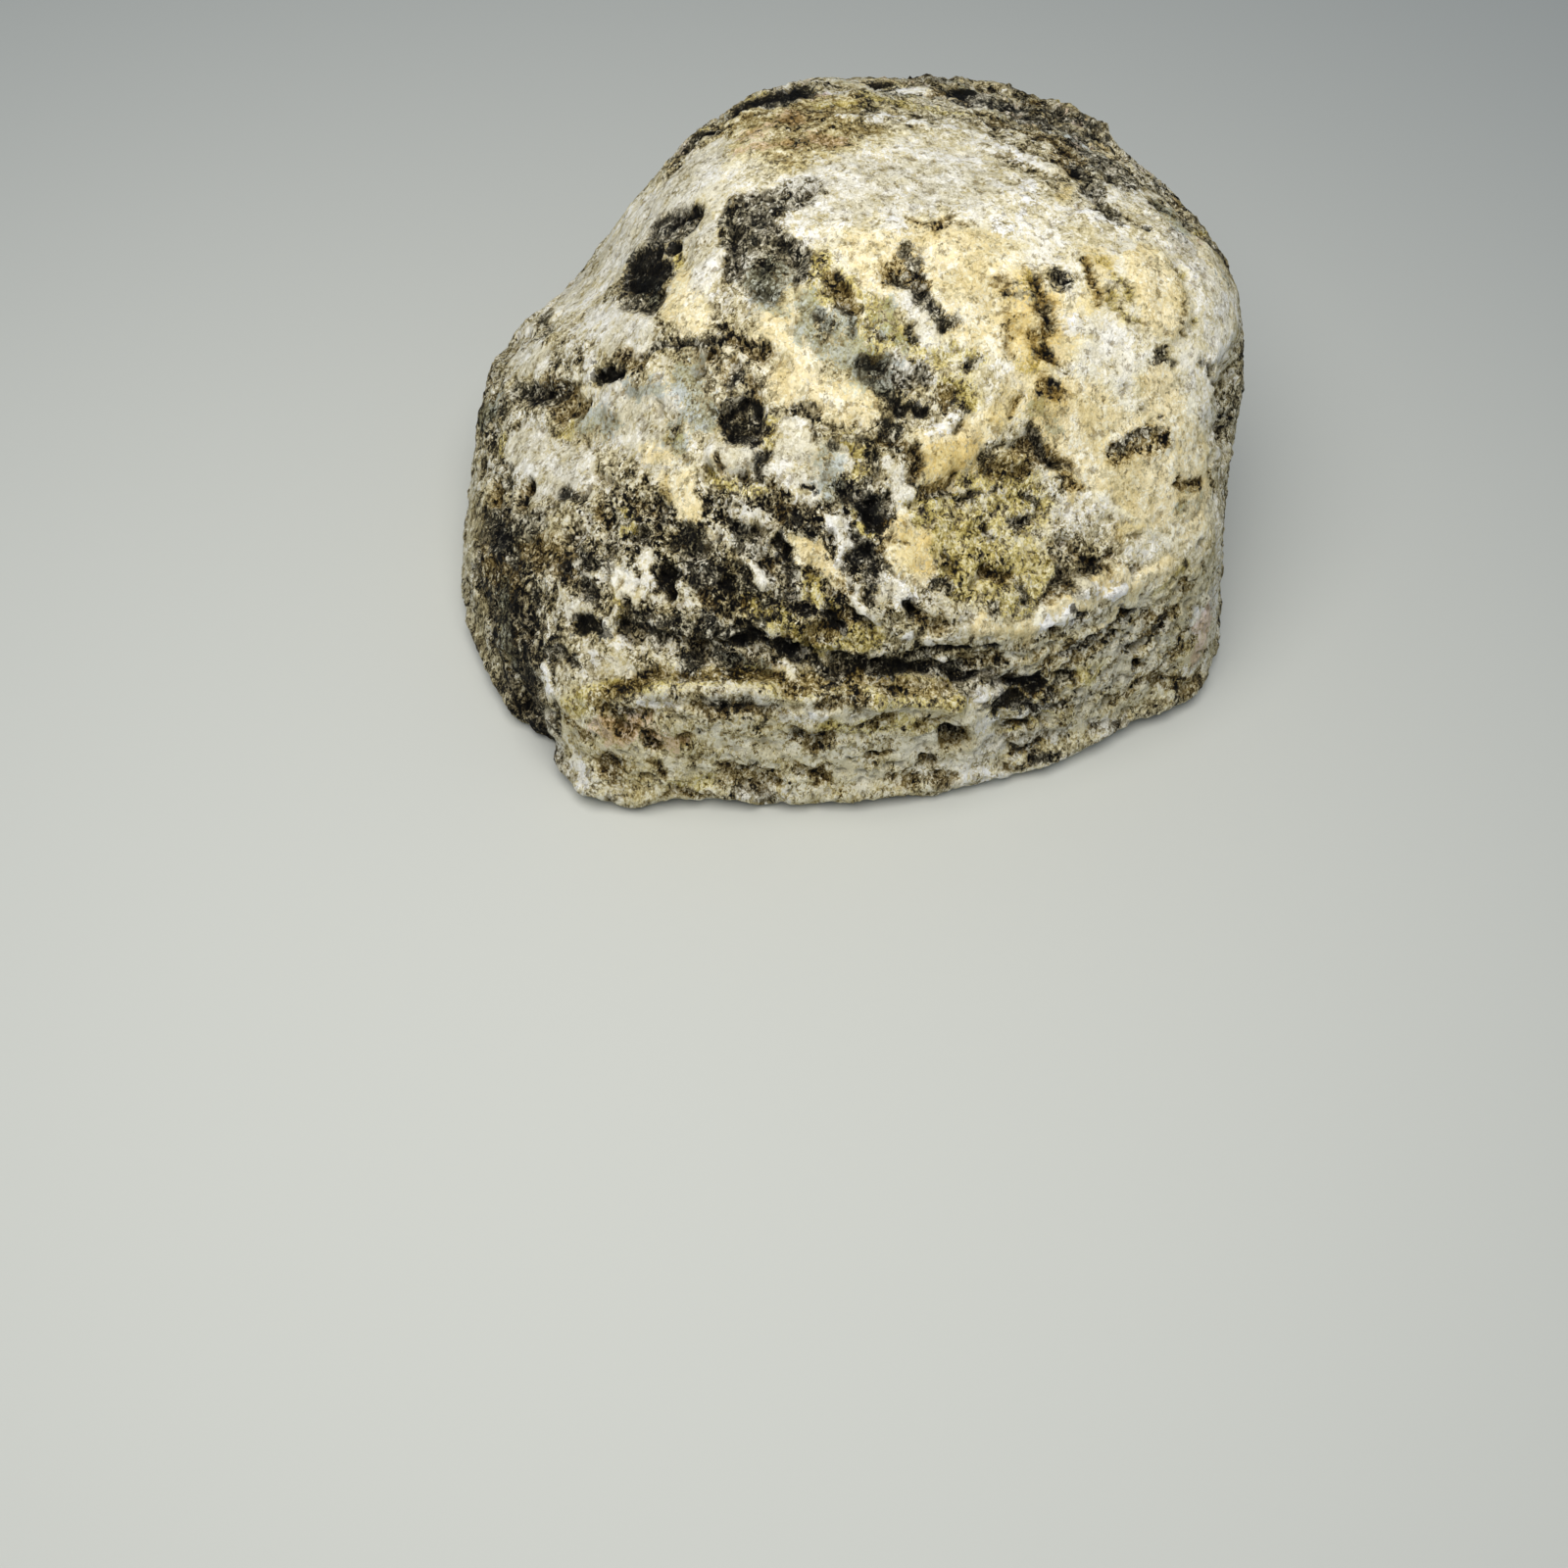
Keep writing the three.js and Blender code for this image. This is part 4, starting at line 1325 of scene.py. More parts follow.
    def carve(self) -> None:
        """Raises and lowers the rind along its own outward direction, and measures its dips and
        hollows for the finish's painted shade.
        """
        points, fields = self.points, self.fields
        outward = normals_of(points, self.quads)
        none = self.rim[:0]
        grain = self.grain_rise(fields["rough"], fields[Tone.COVER.value])
        grain -= self.links.spread(grain.copy(), self.level_reach, none)
        rise = grain + self.relief - self.inset
        self.points = points + outward * rise[:, None]
        self.undercut(outward)
        self.points[self.rim, 2] = 0.0
        rest = np.setdiff1d(np.arange(len(points)), self.rim)
        self.points[rest, 2] = np.maximum(self.points[rest, 2], self.least_height)
        # How far each point lies below its surroundings, small and broad: the finish darkens
        # these dips and hollows as painted shade.
        soft = self.links.spread(rise.copy(), self.dip_reach, none)
        wide = self.links.spread(soft.copy(), self.hollow_reach, none)
        fields["dip"] = np.clip((soft - rise) / self.dip_depth, -1, 1)
        fields["hollow"] = np.clip((wide - soft) / self.hollow_depth, -1, 1)

    def grain_rise(self, rough: np.ndarray, cover: np.ndarray) -> np.ndarray:
        """Works out the natural roughness of the rind.

        Args:
            rough: how rough the rind is at each point.
            cover: how much crust there is.

        Returns:
            The change of height at each point.
        """
        swells = GradientNoise(Seed.SWELLS).layered(self.points, self.swell_grain, 2)
        lumps = GradientNoise(Seed.LUMPS).layered(self.bed, self.lump_grain, 2)
        furrows = np.abs(GradientNoise(Seed.RIDGES).layered(self.bed, self.ridge_grain, 3, 0.6))
        ridges = self.ridge_level - furrows
        crust = eased(cover, *self.crust_edge)
        return (
            self.swell_rise * swells
            + self.lump_rise * rough * lumps
            + self.ridge_rise * rough * ridges
            + self.crust_rise * crust
            + self.pitted(rough)
        )

    def undercut(self, outward: np.ndarray) -> None:
        """Rounds the wall in under itself just above the cut.

        Args:
            outward: the outward direction at each point.
        """
        height = np.maximum(self.points[:, 2], 0.0)
        noise = GradientNoise(Seed.CHIPS).layered(self.points, self.chip_length, 2)
        tuck = self.tuck * (1 + self.chipping * noise)
        tuck *= np.clip(1 - height / self.tuck_height, 0, 1) ** 2
        bulge = self.bulge * np.exp(-(((height - 2 * self.tuck_height) / self.tuck_height) ** 2))
        self.points[:, :2] += outward[:, :2] * (bulge - tuck)[:, None]

    def pitted(self, rough: np.ndarray) -> np.ndarray:
        """Sinks small round pits where the rind is rough.

        Args:
            rough: how rough the rind is at each point.

        Returns:
            The change of height at each point.
        """
        rng = np.random.default_rng(int(Seed.PITS))
        tree = KDTree(len(self.bed))
        for number, point in enumerate(self.bed):
            tree.insert(point, number)
        tree.balance()
        change = np.zeros(len(self.bed))
        least, swing = self.pit_radius
        chance = rough**3
        chosen = rng.choice(len(self.bed), self.pit_count, False, chance / chance.sum())
        for centre in chosen:
            radius = least + swing * rng.random() ** 3
            depth = radius * rng.uniform(*self.pit_depth)
            for _, number, away in tree.find_range(self.bed[centre], radius):
                share = min(1.0, self.pit_steepness * (1 - away / radius))
                change[number] = min(change[number], -depth * share)
        return change

    def fit_box(self) -> None:
        """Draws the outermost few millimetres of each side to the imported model's box."""
        for axis, side in itertools.product(range(3), (-1, 1)):
            limit = abs(CAD_BOX[side > 0][axis]) / MM
            if limit > 0:
                reach = side * self.points[:, axis]
                edge = limit - self.box_margin
                beyond = np.maximum(reach - edge, 0.0)
                reach += beyond * (self.box_margin / beyond.max() - 1)
                self.points[:, axis] = side * reach


@dataclass
class SawnFace:
    """The flat, polished face underneath, as rings that close towards the middle."""

    rim: np.ndarray
    rim_numbers: np.ndarray
    first_number: int
    shrink: tuple[float, ...] = (0.985, 0.94, 0.85, 0.7, 0.5, 0.26)
    points: np.ndarray = field(init=False)
    inward: np.ndarray = field(init=False)
    triangles: list[tuple[int, int, int]] = field(init=False)

    def __post_init__(self) -> None:
        """Lays the rings and joins each to the one outside it."""
        ring, numbers = self.rim, self.rim_numbers
        middle = ring.mean(axis=0)
        points, inward = [], []
        self.triangles = []
        count = self.first_number
        for step, scale in enumerate(self.shrink):
            inner = ring[:: 2 if step else 1]
            inner_numbers = np.arange(count, count + len(inner))
            count += len(inner)
            points.append(middle + (inner - middle) * scale)
            inward.append(np.full(len(inner), 1 - scale))
            self.join(numbers, inner_numbers)
            ring, numbers = inner, inner_numbers
        points.append(middle[None])
        inward.append(np.ones(1))
        for near, far in zip(numbers, np.roll(numbers, -1)):
            self.triangles.append((int(far), int(near), count))
        self.points, self.inward = np.vstack(points), np.concatenate(inward)
        self.points[:, 2] = 0.0

    def join(self, outer: np.ndarray, inner: np.ndarray) -> None:
        """Fills the band between two rings, the inner one with as many points or half.

        Args:
            outer: the outer ring's point numbers, anticlockwise from above.
            inner: the inner ring's.
        """
        step = len(outer) // len(inner)
        ahead_inner = np.roll(inner, -1)
        for i, (here, ahead) in enumerate(zip(inner, ahead_inner)):
            first = outer[step * i]
            middle = outer[(step * i + 1) % len(outer)]
            self.triangles.append((int(middle), int(first), int(here)))
            self.triangles.append((int(ahead), int(middle), int(here)))
            if step == 2:
                last = outer[(step * i + 2) % len(outer)]
                self.triangles.append((int(last), int(middle), int(ahead)))


Number = "Wire | float | int"


@dataclass(frozen=True)
class Wire:
    """One output of a shader node. Arithmetic on it adds the nodes that work it out."""

    sheet: "Sheet"
    socket: bpy.types.NodeSocket | None

    def __add__(self, other: Number) -> "Wire":
        """Adds."""
        return self.sheet.maths("ADD", self, other)

    def __sub__(self, other: Number) -> "Wire":
        """Takes away."""
        return self.sheet.maths("SUBTRACT", self, other)

    def __rsub__(self, other: Number) -> "Wire":
        """Takes this away from the other."""
        return self.sheet.maths("SUBTRACT", other, self)

    def __mul__(self, other: Number) -> "Wire":
        """Multiplies."""
        return self.sheet.maths("MULTIPLY", self, other)

    def __truediv__(self, other: Number) -> "Wire":
        """Divides."""
        return self.sheet.maths("DIVIDE", self, other)

    __radd__ = __add__
    __rmul__ = __mul__

    def clamped(self) -> "Wire":
        """Keeps the value from 0 to 1."""
        return self.sheet.node("ShaderNodeClamp", {}, {"Value": self})

    def above(self, level: Number, crisp: float) -> "Wire":
        """Marks where the value is over a level.

        Args:
            level: the level.
            crisp: how sharply the mark rises across it.

        Returns:
            A value from 0 to 1, and 0.5 at the level.
        """
        return ((self - level) * crisp + 0.5).clamped()

    def sine(self) -> "Wire":
        """Takes the sine."""
        return self.sheet.maths("SINE", self)

    def terraced(self, steps: float, crisp: float) -> "Wire":
        """Turns an even slope into flat steps with steep edges.

        Args:
            steps: how many steps there are from 0 to 1.
            crisp: how steep the edges are.

        Returns:
            The stepped value.
        """
        raised = self * steps
        part = self.sheet.maths("FRACT", raised)
        return (raised - part + part.above(0.5, crisp)) / steps


class Blend(Enum):
    """The ways to lay one colour over another."""

    COVER = "MIX"
    TINT = "MULTIPLY"


class Sheet:
    """The node tree of one material, and the ways to add to it."""

    def __init__(self, name: str) -> None:
        """Starts an empty material.

        Args:
            name: the material's name.
        """
        self.material = bpy.data.materials.new(name)
        self.material.use_nodes = True
        self.tree = self.material.node_tree
        self.tree.nodes.clear()

    def node(self, kind: str, settings: dict, sockets: dict, output: int | str = 0) -> Wire:
        """Adds one node.

        Args:
            kind: the node's type.
            settings: what is set on the node first; "stops" fills a ramp.
            sockets: a value or a wire for each input, by its name or number.
            output: the name or number of the output that is wanted.

        Returns:
            The wanted output.
        """
        made = self.tree.nodes.new(kind)
        for name, value in settings.items():
            if name == "stops":
                self.fill_ramp(made.color_ramp, value)
            else:
                setattr(made, name, value)
        for name, value in sockets.items():
            if isinstance(value, Wire):
                self.tree.links.new(value.socket, made.inputs[name])
            else:
                made.inputs[name].default_value = value
        return Wire(self, made.outputs[output] if made.outputs else None)

    def fill_ramp(self, ramp: bpy.types.ColorRamp, stops: Sequence[tuple[float, Colour]]) -> None:
        """Sets a colour ramp's stops.

        Args:
            ramp: the ramp.
            stops: each stop's position and colour, in order.
        """
        while len(ramp.elements) < len(stops):
            ramp.elements.new(1.0)
        for element, (position, colour) in zip(ramp.elements, stops):
            element.position = position
            element.color = linear(colour)

    def maths(self, operation: str, *values: Number) -> Wire:
        """Adds a Math node on some values."""
        return self.node("ShaderNodeMath", {"operation": operation}, dict(enumerate(values)))

    def vector(self, operation: str, *values: Wire | tuple) -> Wire:
        """Adds a Vector Math node on some vectors."""
        settings = {"operation": operation}
        return self.node("ShaderNodeVectorMath", settings, dict(enumerate(values)))

    def blend(self, way: Blend, under: Wire | Colour, over: Wire | Colour, share: Number) -> Wire:
        """Lays one colour over another.

        Args:
            way: how they are laid.
            under: the colour where the share is 0.
            over: the colour that is laid over it.
            share: how much the upper colour counts.

        Returns:
            The blended colour.
        """
        pair = [c if isinstance(c, Wire) else linear(c) for c in (under, over)]
        settings = {"data_type": "RGBA", "blend_type": way.value}
        return self.node("ShaderNodeMix", settings, {0: share, 6: pair[0], 7: pair[1]}, 2)

    def covered(self, under: Wire, over: Wire | Colour, share: Number) -> Wire:
        """Covers a colour with another."""
        return self.blend(Blend.COVER, under, over, share)

    def tinted(self, colour: Wire, tint: Colour, share: Number) -> Wire:
        """Lets a tint soak into a colour."""
        return self.blend(Blend.TINT, colour, tint, share)

    def noise(self, where: Wire, per_mm: float, detail: float, rough: float = 0.6) -> Wire:
        """Adds noise, drawn out so that it mostly spans 0 to 1.

        Args:
            where: the place in millimetres.
            per_mm: how many swells there are in a millimetre.
            detail: how many finer layers there are.
            rough: how strong the finer layers are.

        Returns:
            The noise.
        """
        sockets = {"Vector": where, "Scale": per_mm, "Detail": detail, "Roughness": rough}
        shares = np.power(rough, np.arange(math.floor(detail) + 1))
        spread = ONE_LAYER_SPREAD * np.linalg.norm(shares) / shares.sum()
        plain = self.node("ShaderNodeTexNoise", {}, sockets)
        return (plain - 0.5) * (WANTED_SPREAD / spread) + 0.5

    def cells(self, where: Wire, per_mm: float, output: str = "Distance") -> Wire:
        """Adds small rounded cells, as crumbs.

        Args:
            where: the place in millimetres.
            per_mm: how many cells there are in a millimetre.
            output: Distance from each cell's middle, or its own Color.

        Returns:
            The wanted output.
        """
        sockets = {"Vector": where, "Scale": per_mm}
        return self.node("ShaderNodeTexVoronoi", {}, sockets, output)

    def swirl(self, where: Wire, per_mm: float) -> Wire:
        """Gives a small sideways push at every place, for bending what is drawn there.

        Args:
            where: the place in millimetres.
            per_mm: how many swirls there are in a millimetre.

        Returns:
            The push, as a vector.
        """
        sockets = {"Vector": where, "Scale": per_mm, "Detail": 3.0, "Roughness": 0.6}
        plain = self.node("ShaderNodeTexNoise", {}, sockets, "Color")
        return self.vector("SUBTRACT", plain, (0.5, 0.5, 0.5))

    def reading(self, name: str) -> Wire:
        """Reads a field that the mesh carries."""
        settings = {"attribute_type": "GEOMETRY", "attribute_name": name}
        return self.node("ShaderNodeAttribute", settings, {}, "Fac")

    def place(self) -> Wire:
        """Gives the place on the stone in millimetres."""
        local = self.node("ShaderNodeTexCoord", {}, {}, "Object")
        return self.vector("MULTIPLY", local, (1 / MM, 1 / MM, 1 / MM))

    def surface(self, sockets: dict) -> bpy.types.Material:
        """Finishes the material with one shader.

        Args:
            sockets: the shader's values and wires, by name.

        Returns:
            The material.
        """
        shader = self.node("ShaderNodeBsdfPrincipled", {}, sockets)
        self.node("ShaderNodeOutputMaterial", {}, {"Surface": shader})
        return self.material


@dataclass(frozen=True)
class Palette:
    """The colours of one kind of crust, from its black hollows to its white grains.

    A palette holds where its tone's field does, and the one without a tone lies under the
    rest. Its edge is moved by noise as far as "ragged" says and is as sharp as "crisp" says.
    """

    tone: Tone | None
    colours: tuple[Colour, ...]
    ragged: float = 0.9
    crisp: float = 6.0
    strength: float = 1.0


PALETTE_LEVELS = tuple(step / 6 for step in range(7))

PALETTES = [
    Palette(
        None,
        (
            (14, 13, 13), (50, 46, 38), (108, 98, 73), (164, 152, 117),
            (210, 199, 162), (237, 228, 196), (253, 250, 239),
        ),
    ),
    Palette(
        Tone.TAN,
        (
            (30, 22, 12), (86, 68, 38), (138, 118, 72), (180, 162, 112),
            (212, 198, 150), (236, 225, 184), (252, 246, 222),
        ),
    ),
    Palette(
        Tone.SLATE,
        (
            (17, 17, 16), (52, 48, 40), (98, 90, 72), (138, 128, 104),
            (172, 162, 134), (206, 198, 172), (244, 240, 226),
        ),
    ),
    Palette(
        Tone.OLIVE,
        (
            (22, 18, 8), (62, 50, 16), (114, 98, 38), (168, 151, 76),
            (208, 192, 118), (236, 221, 150), (250, 242, 205),
        ),
        ragged=1.4,
        strength=0.85,
    ),
    Palette(
        Tone.GREY,
        (
            (16, 15, 13), (48, 45, 37), (88, 83, 69), (126, 120, 101),
            (166, 160, 139), (208, 202, 182), (246, 243, 232),
        ),
    ),
    Palette(
        Tone.CHALK,
        (
            (34, 32, 28), (92, 86, 72), (146, 140, 122), (186, 180, 160),
            (212, 207, 190), (230, 226, 211), (250, 248, 240),
        ),
        strength=0.85,
    ),
    Palette(
        Tone.CREAM,
        (
            (44, 34, 18), (104, 84, 44), (168, 146, 94), (208, 188, 136),
            (232, 214, 166), (245, 230, 186), (254, 249, 226),
        ),
        strength=0.95,
    ),
    Palette(
        Tone.WHITE,
        (
            (96, 90, 72), (148, 141, 120), (190, 184, 164), (220, 215, 198),
            (240, 236, 222), (251, 249, 240), (255, 254, 250),
        ),
    ),
    Palette(
        Tone.BROWN,
        (
            (20, 15, 7), (54, 42, 20), (94, 77, 42), (136, 116, 72),
            (178, 160, 112), (218, 203, 164), (248, 242, 218),
        ),
        strength=0.8,
    ),
    Palette(
        Tone.DARK,
        (
            (9, 9, 9), (15, 16, 17), (30, 31, 30), (58, 58, 52),
            (102, 98, 84), (162, 154, 130), (232, 227, 208),
        ),
        ragged=1.15,
        crisp=10.0,
        strength=0.92,
    ),
    Palette(
        Tone.BLACK,
        (
            (6, 6, 7), (8, 8, 9), (12, 12, 12), (18, 18, 17),
            (30, 29, 27), (58, 56, 50), (140, 136, 124),
        ),
        ragged=0.85,
        crisp=10.0,
        strength=0.97,
    ),
]


@dataclass(frozen=True)
class Stain:
    """A tint that soaks into whatever crust is there."""

    tone: Tone
    colour: Colour
    strength: float
    ragged: float = 2.4
    crisp: float = 2.0


STAINS = [
    Stain(Tone.RUST, (234, 214, 144), 0.6),
    Stain(Tone.PINK, (238, 210, 200), 0.6),
    Stain(Tone.BLUE, (192, 202, 206), 0.8),
]


@dataclass(frozen=True)
class Grains:
    """The noises that the crust is made of, from the broadest to the finest."""

    wide: Wire
    mid: Wire
    fine: Wire
    tiny: Wire
    plates: Wire
    flakes: Wire
    grit: Wire
    crumbs: Wire

    def speckle(self) -> Wire:
        """Gives the uneven cover of the crust, about 0."""
        broad = self.mid * 0.45 + self.fine * 0.5 + self.flakes * 0.9
        return broad + self.plates * 0.45 + self.tiny * 0.15 - 1.225

    def ragged(self) -> Wire:
        """Gives the unevenness of the edges between colours, about 0."""
        broad = self.mid * 0.3 + self.fine * 0.45 + self.flakes * 0.8
        return broad + self.plates * 0.6 + self.tiny * 0.15 - 1.15


@dataclass(frozen=True)
class RindFinish:
    """The rough skin: a pale crust worn through to dark rock, with stains and chips, and painted
    shade in its dips and hollows.

    What the crust is at a place is its level, from 0 in a black hollow to 1 on a white
    grain. It is cut into steps, as worn layers are. A hang below 1 draws the grains out
    downwards.
    """

    relief: float = 0.19 * MM
    hang: float = 0.6
    bend: float = 1.6
    steps: float = 6.0
    step_sharpness: float = 3.0
    step_share: float = 0.8
    grit: float = 0.5
    weather_tint: Colour = (232, 226, 202)
    fleck_tint: Colour = (150, 132, 94)
    # Tints of painted shade for the dips and hollows of the relief.
    dip_shade_tint: Colour = (110, 98, 74)
    hollow_shade_tint: Colour = (140, 126, 98)

    def material(self) -> bpy.types.Material:
        """Mixes the finish.

        Returns:
            The material.
        """
        sheet = Sheet("agate_rind")
        where = sheet.vector("MULTIPLY", sheet.place(), (1.0, 1.0, self.hang))
        grains = self.grains(sheet, where)
        busy = sheet.reading("busy")
        patchy = sheet.noise(where, 0.7, 4, 0.6).above(0.5, 2.5)
        level = self.level(sheet, grains, busy, patchy)
        flecks = sheet.noise(where, 1.1, 5, 0.75).above(0.84, 5.0)
        colour = self.painted(sheet, level, grains.ragged())
        mounds = sheet.noise(where, 0.8, 3, 0.5)
        chips = grains.crumbs * 0.5 + grains.flakes * 0.7 + grains.grit * patchy * 0.3
        height = mounds * 0.6 + chips * busy + level - flecks * 0.3
        sockets = {"Height": height, "Strength": 1.0, "Distance": self.relief}
        sockets = {
            "Base Color": self.weathered_and_shaded(sheet, where, colour, flecks),
            "Roughness": level * 0.3 + 0.65,
            "Specular IOR Level": 0.08,
            "Normal": sheet.node("ShaderNodeBump", {}, sockets),
        }
        return sheet.surface(sockets)

    def grains(self, sheet: Sheet, where: Wire) -> Grains:
        """Adds the noises of the crust.

        Args:
            sheet: the material's sheet.
            where: the place in millimetres.

        Returns:
            The noises.
        """
        push = sheet.vector("MULTIPLY", sheet.swirl(where, 1.2), (self.bend,) * 3)
        bent = sheet.vector("ADD", where, push)
        return Grains(
            wide=sheet.noise(where, 0.16, 5, 0.6),
            mid=sheet.noise(where, 0.45, 6, 0.66),
            fine=sheet.noise(where, 1.5, 6, 0.7),
            tiny=sheet.noise(where, 4.2, 3, 0.6),
            plates=sheet.cells(bent, 0.9, "Color"),
            flakes=sheet.cells(bent, 2.5, "Color"),
            grit=sheet.cells(bent, 4.0, "Color"),
            crumbs=1 - sheet.cells(bent, 2.1),
        )

    def level(self, sheet: Sheet, grains: Grains, busy: Wire, patchy: Wire) -> Wire:
        """Works out the level of the crust.

        Args:
            sheet: the material's sheet.
            grains: the noises of the crust.
            busy: how strong the noises are at each place.
            patchy: where there is grit.

        Returns:
            The level, mostly from 0 to 1.
        """
        level = sheet.reading(Tone.COVER.value) * 0.5 + 0.5
        level = level + grains.speckle() * busy + (grains.wide - 0.5) * 0.2
        stepped = level.terraced(self.steps, self.step_sharpness)
        level = stepped * self.step_share + level * (1 - self.step_share)
        loose = (grains.tiny - 0.5) * 0.5 + (grains.grit - 0.5) * patchy * 2.0
        return level + loose * busy * self.grit

    def painted(self, sheet: Sheet, level: Wire, ragged: Wire) -> Wire:
        """Colours the crust: each palette where its tone holds, and then the stains.

        Args:
            sheet: the material's sheet.
            level: the level of the crust.
            ragged: the unevenness of the edges between colours.

        Returns:
            The colour.
        """
        colour = None
        for palette in PALETTES:
            stops = list(zip(PALETTE_LEVELS, palette.colours))
            paint = sheet.node("ShaderNodeValToRGB", {"stops": stops}, {"Fac": level}, "Color")
            if palette.tone is None:
                colour = paint
                continue
            held = sheet.reading(palette.tone.value) + ragged * (2 * palette.ragged)
            mask = held.above(0.0, palette.crisp) * palette.strength
            colour = sheet.covered(colour, paint, mask)
        for stain in STAINS:
            held = sheet.reading(stain.tone.value) + ragged * stain.ragged
            mask = held.above(0.0, stain.crisp) * stain.strength
            colour = sheet.tinted(colour, stain.colour, mask)
        return colour

    def weathered_and_shaded(self, sheet: Sheet, where: Wire, colour: Wire, flecks: Wire) -> Wire:
        """Dulls the colour by weather and flecks, and darkens it in dips and hollows as painted
        shade.

        Args:
            sheet: the material's sheet.
            where: the place in millimetres.
            colour: the crust's colour.
            flecks: where the flecks are.

        Returns:
            The duller colour, with painted shade in the dips and hollows.
        """
        weather = sheet.noise(where, 0.28, 5, 0.65).above(0.55, 2.5)
        colour = sheet.tinted(colour, self.weather_tint, weather * 0.7)
        colour = sheet.tinted(colour, self.fleck_tint, flecks * 0.6)
        # Painted shade: the colour is darker in the small dips and broad hollows of the relief.
        dip = sheet.reading("dip").clamped()
        colour = sheet.tinted(colour, self.dip_shade_tint, dip * 0.5)
        hollow = sheet.reading("hollow").clamped()
        return sheet.tinted(colour, self.hollow_shade_tint, hollow * 0.35)


# The polished face's colours, from its edge (0) to its middle (1).
AGATE_BANDS = [
    (0.0, (122, 112, 84)),
    (0.035, (92, 96, 82)),
    (0.07, (138, 150, 158)),
    (0.2, (168, 180, 190)),
    (0.3, (222, 224, 222)),
    (0.36, (186, 172, 162)),
    (0.44, (196, 128, 92)),
    (0.52, (226, 186, 150)),
    (0.6, (236, 230, 220)),
    (0.7, (202, 206, 210)),
    (0.85, (232, 234, 234)),
    (1.0, (214, 220, 224)),
]


@dataclass(frozen=True)
class PolishedFinish:
    """The sawn and polished face: bands of agate that follow its outline.

    The fine and slow lines are waves from the edge to the middle, in radians in all.
    """

    fine_lines: float = 210.0
    slow_lines: float = 46.0
    shadow_tint: Colour = (196, 186, 176)
    shine_tint: Colour = (246, 246, 242)
    moss_tint: Colour = (88, 92, 58)
    gloss: float = 0.12
    coat: float = 0.6

    def material(self) -> bpy.types.Material:
        """Mixes the finish.

        Returns:
            The material.
        """
        sheet = Sheet("agate_polished")
        where = sheet.place()
        sway = sheet.noise(where, 0.06, 3, 0.5) - 0.5
        ripple = sheet.noise(where, 0.35, 4, 0.55) - 0.5
        depth = sheet.reading("inward") + sway * 0.16 + ripple * 0.018
        sockets = {"Fac": depth}
        colour = sheet.node("ShaderNodeValToRGB", {"stops": AGATE_BANDS}, sockets, "Color")
        fine = (depth * self.fine_lines).sine() * 0.5 + 0.5
        slow = (depth * self.slow_lines).sine() * 0.5 + 0.5
        colour = sheet.tinted(colour, self.shadow_tint, fine * slow * 0.7)
        colour = sheet.covered(colour, self.shine_tint, (1 - fine) * (1 - slow) * 0.45)
        moss = sheet.noise(where, 0.35, 5, 0.65).above(0.82, 8)
        colour = sheet.covered(colour, self.moss_tint, moss * 0.5)
        sockets = {
            "Base Color": colour,
            "Roughness": self.gloss,
            "IOR": 1.54,
            "Coat Weight": self.coat,
            "Coat Roughness": 0.05,
        }
        return sheet.surface(sockets)


@dataclass(frozen=True)
class FloorFinish:
    """A plain pale sheet."""

    colour: Colour = (197, 199, 194)

    def material(self) -> bpy.types.Material:
        """Mixes the finish.

        Returns:
            The material.
        """
        sheet = Sheet("pale_sheet")
        return sheet.surface({"Base Color": linear(self.colour), "Roughness": 0.75})


@dataclass
class Nodule:
    """The stone as one mesh: the rind and the sawn face that closes it."""

    name: str = "agate_nodule"
    rind_finish: RindFinish = field(default_factory=RindFinish)
    face_finish: PolishedFinish = field(default_factory=PolishedFinish)

    def build(self) -> bpy.types.Object:
        """Makes the stone, dresses it and hangs it in the frame.

        Returns:
            The finished piece.
        """
        rind = Rind(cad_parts[NODE])
        face = SawnFace(rind.points[rind.rim], rind.rim, len(rind.points))
        points = np.vstack([rind.points, face.points]) * MM
        faces = rind.quads.tolist() + face.triangles
        mesh = bpy.data.meshes.new(self.name)
        mesh.from_pydata(points.tolist(), [], faces)
        mesh.materials.append(self.rind_finish.material())
        mesh.materials.append(self.face_finish.material())
        slots = np.zeros(len(faces), dtype=int)
        slots[len(rind.quads) :] = 1
        mesh.polygons.foreach_set("material_index", slots)
        mesh.polygons.foreach_set("use_smooth", np.ones(len(faces), dtype=bool))
        self.mark_rim(mesh, rind.rim)
        for name, values in rind.fields.items():
            self.carry(mesh, name, np.concatenate([values, np.zeros(len(face.points))]))
        inward = np.concatenate([np.zeros(len(rind.points)), face.inward])
        self.carry(mesh, "inward", inward)
        mesh.update()
        piece = bpy.data.objects.new(self.name, mesh)
        bpy.context.scene.collection.objects.link(piece)
        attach(piece, BODY)
        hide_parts(NODE)
        return piece

    @staticmethod
    def mark_rim(mesh: bpy.types.Mesh, rim: np.ndarray) -> None:
        """Keeps the edge of the cut sharp.

        Args:
            mesh: the stone's mesh.
            rim: the numbers of the points on the edge.
        """
        ends = np.empty(2 * len(mesh.edges), dtype=int)
        mesh.edges.foreach_get("vertices", ends)
        sharp = np.isin(ends.reshape(-1, 2), rim).all(axis=1)
        mesh.edges.foreach_set("use_edge_sharp", sharp)

    @staticmethod
    def carry(mesh: bpy.types.Mesh, name: str, values: np.ndarray) -> None:
        """Stores one number for each point on the mesh.

        Args:
            mesh: the stone's mesh.
            name: the field's name.
            values: the numbers.
        """
        layer = mesh.attributes.new(name, "FLOAT", "POINT")
        layer.data.foreach_set("value", values.astype(np.float32))


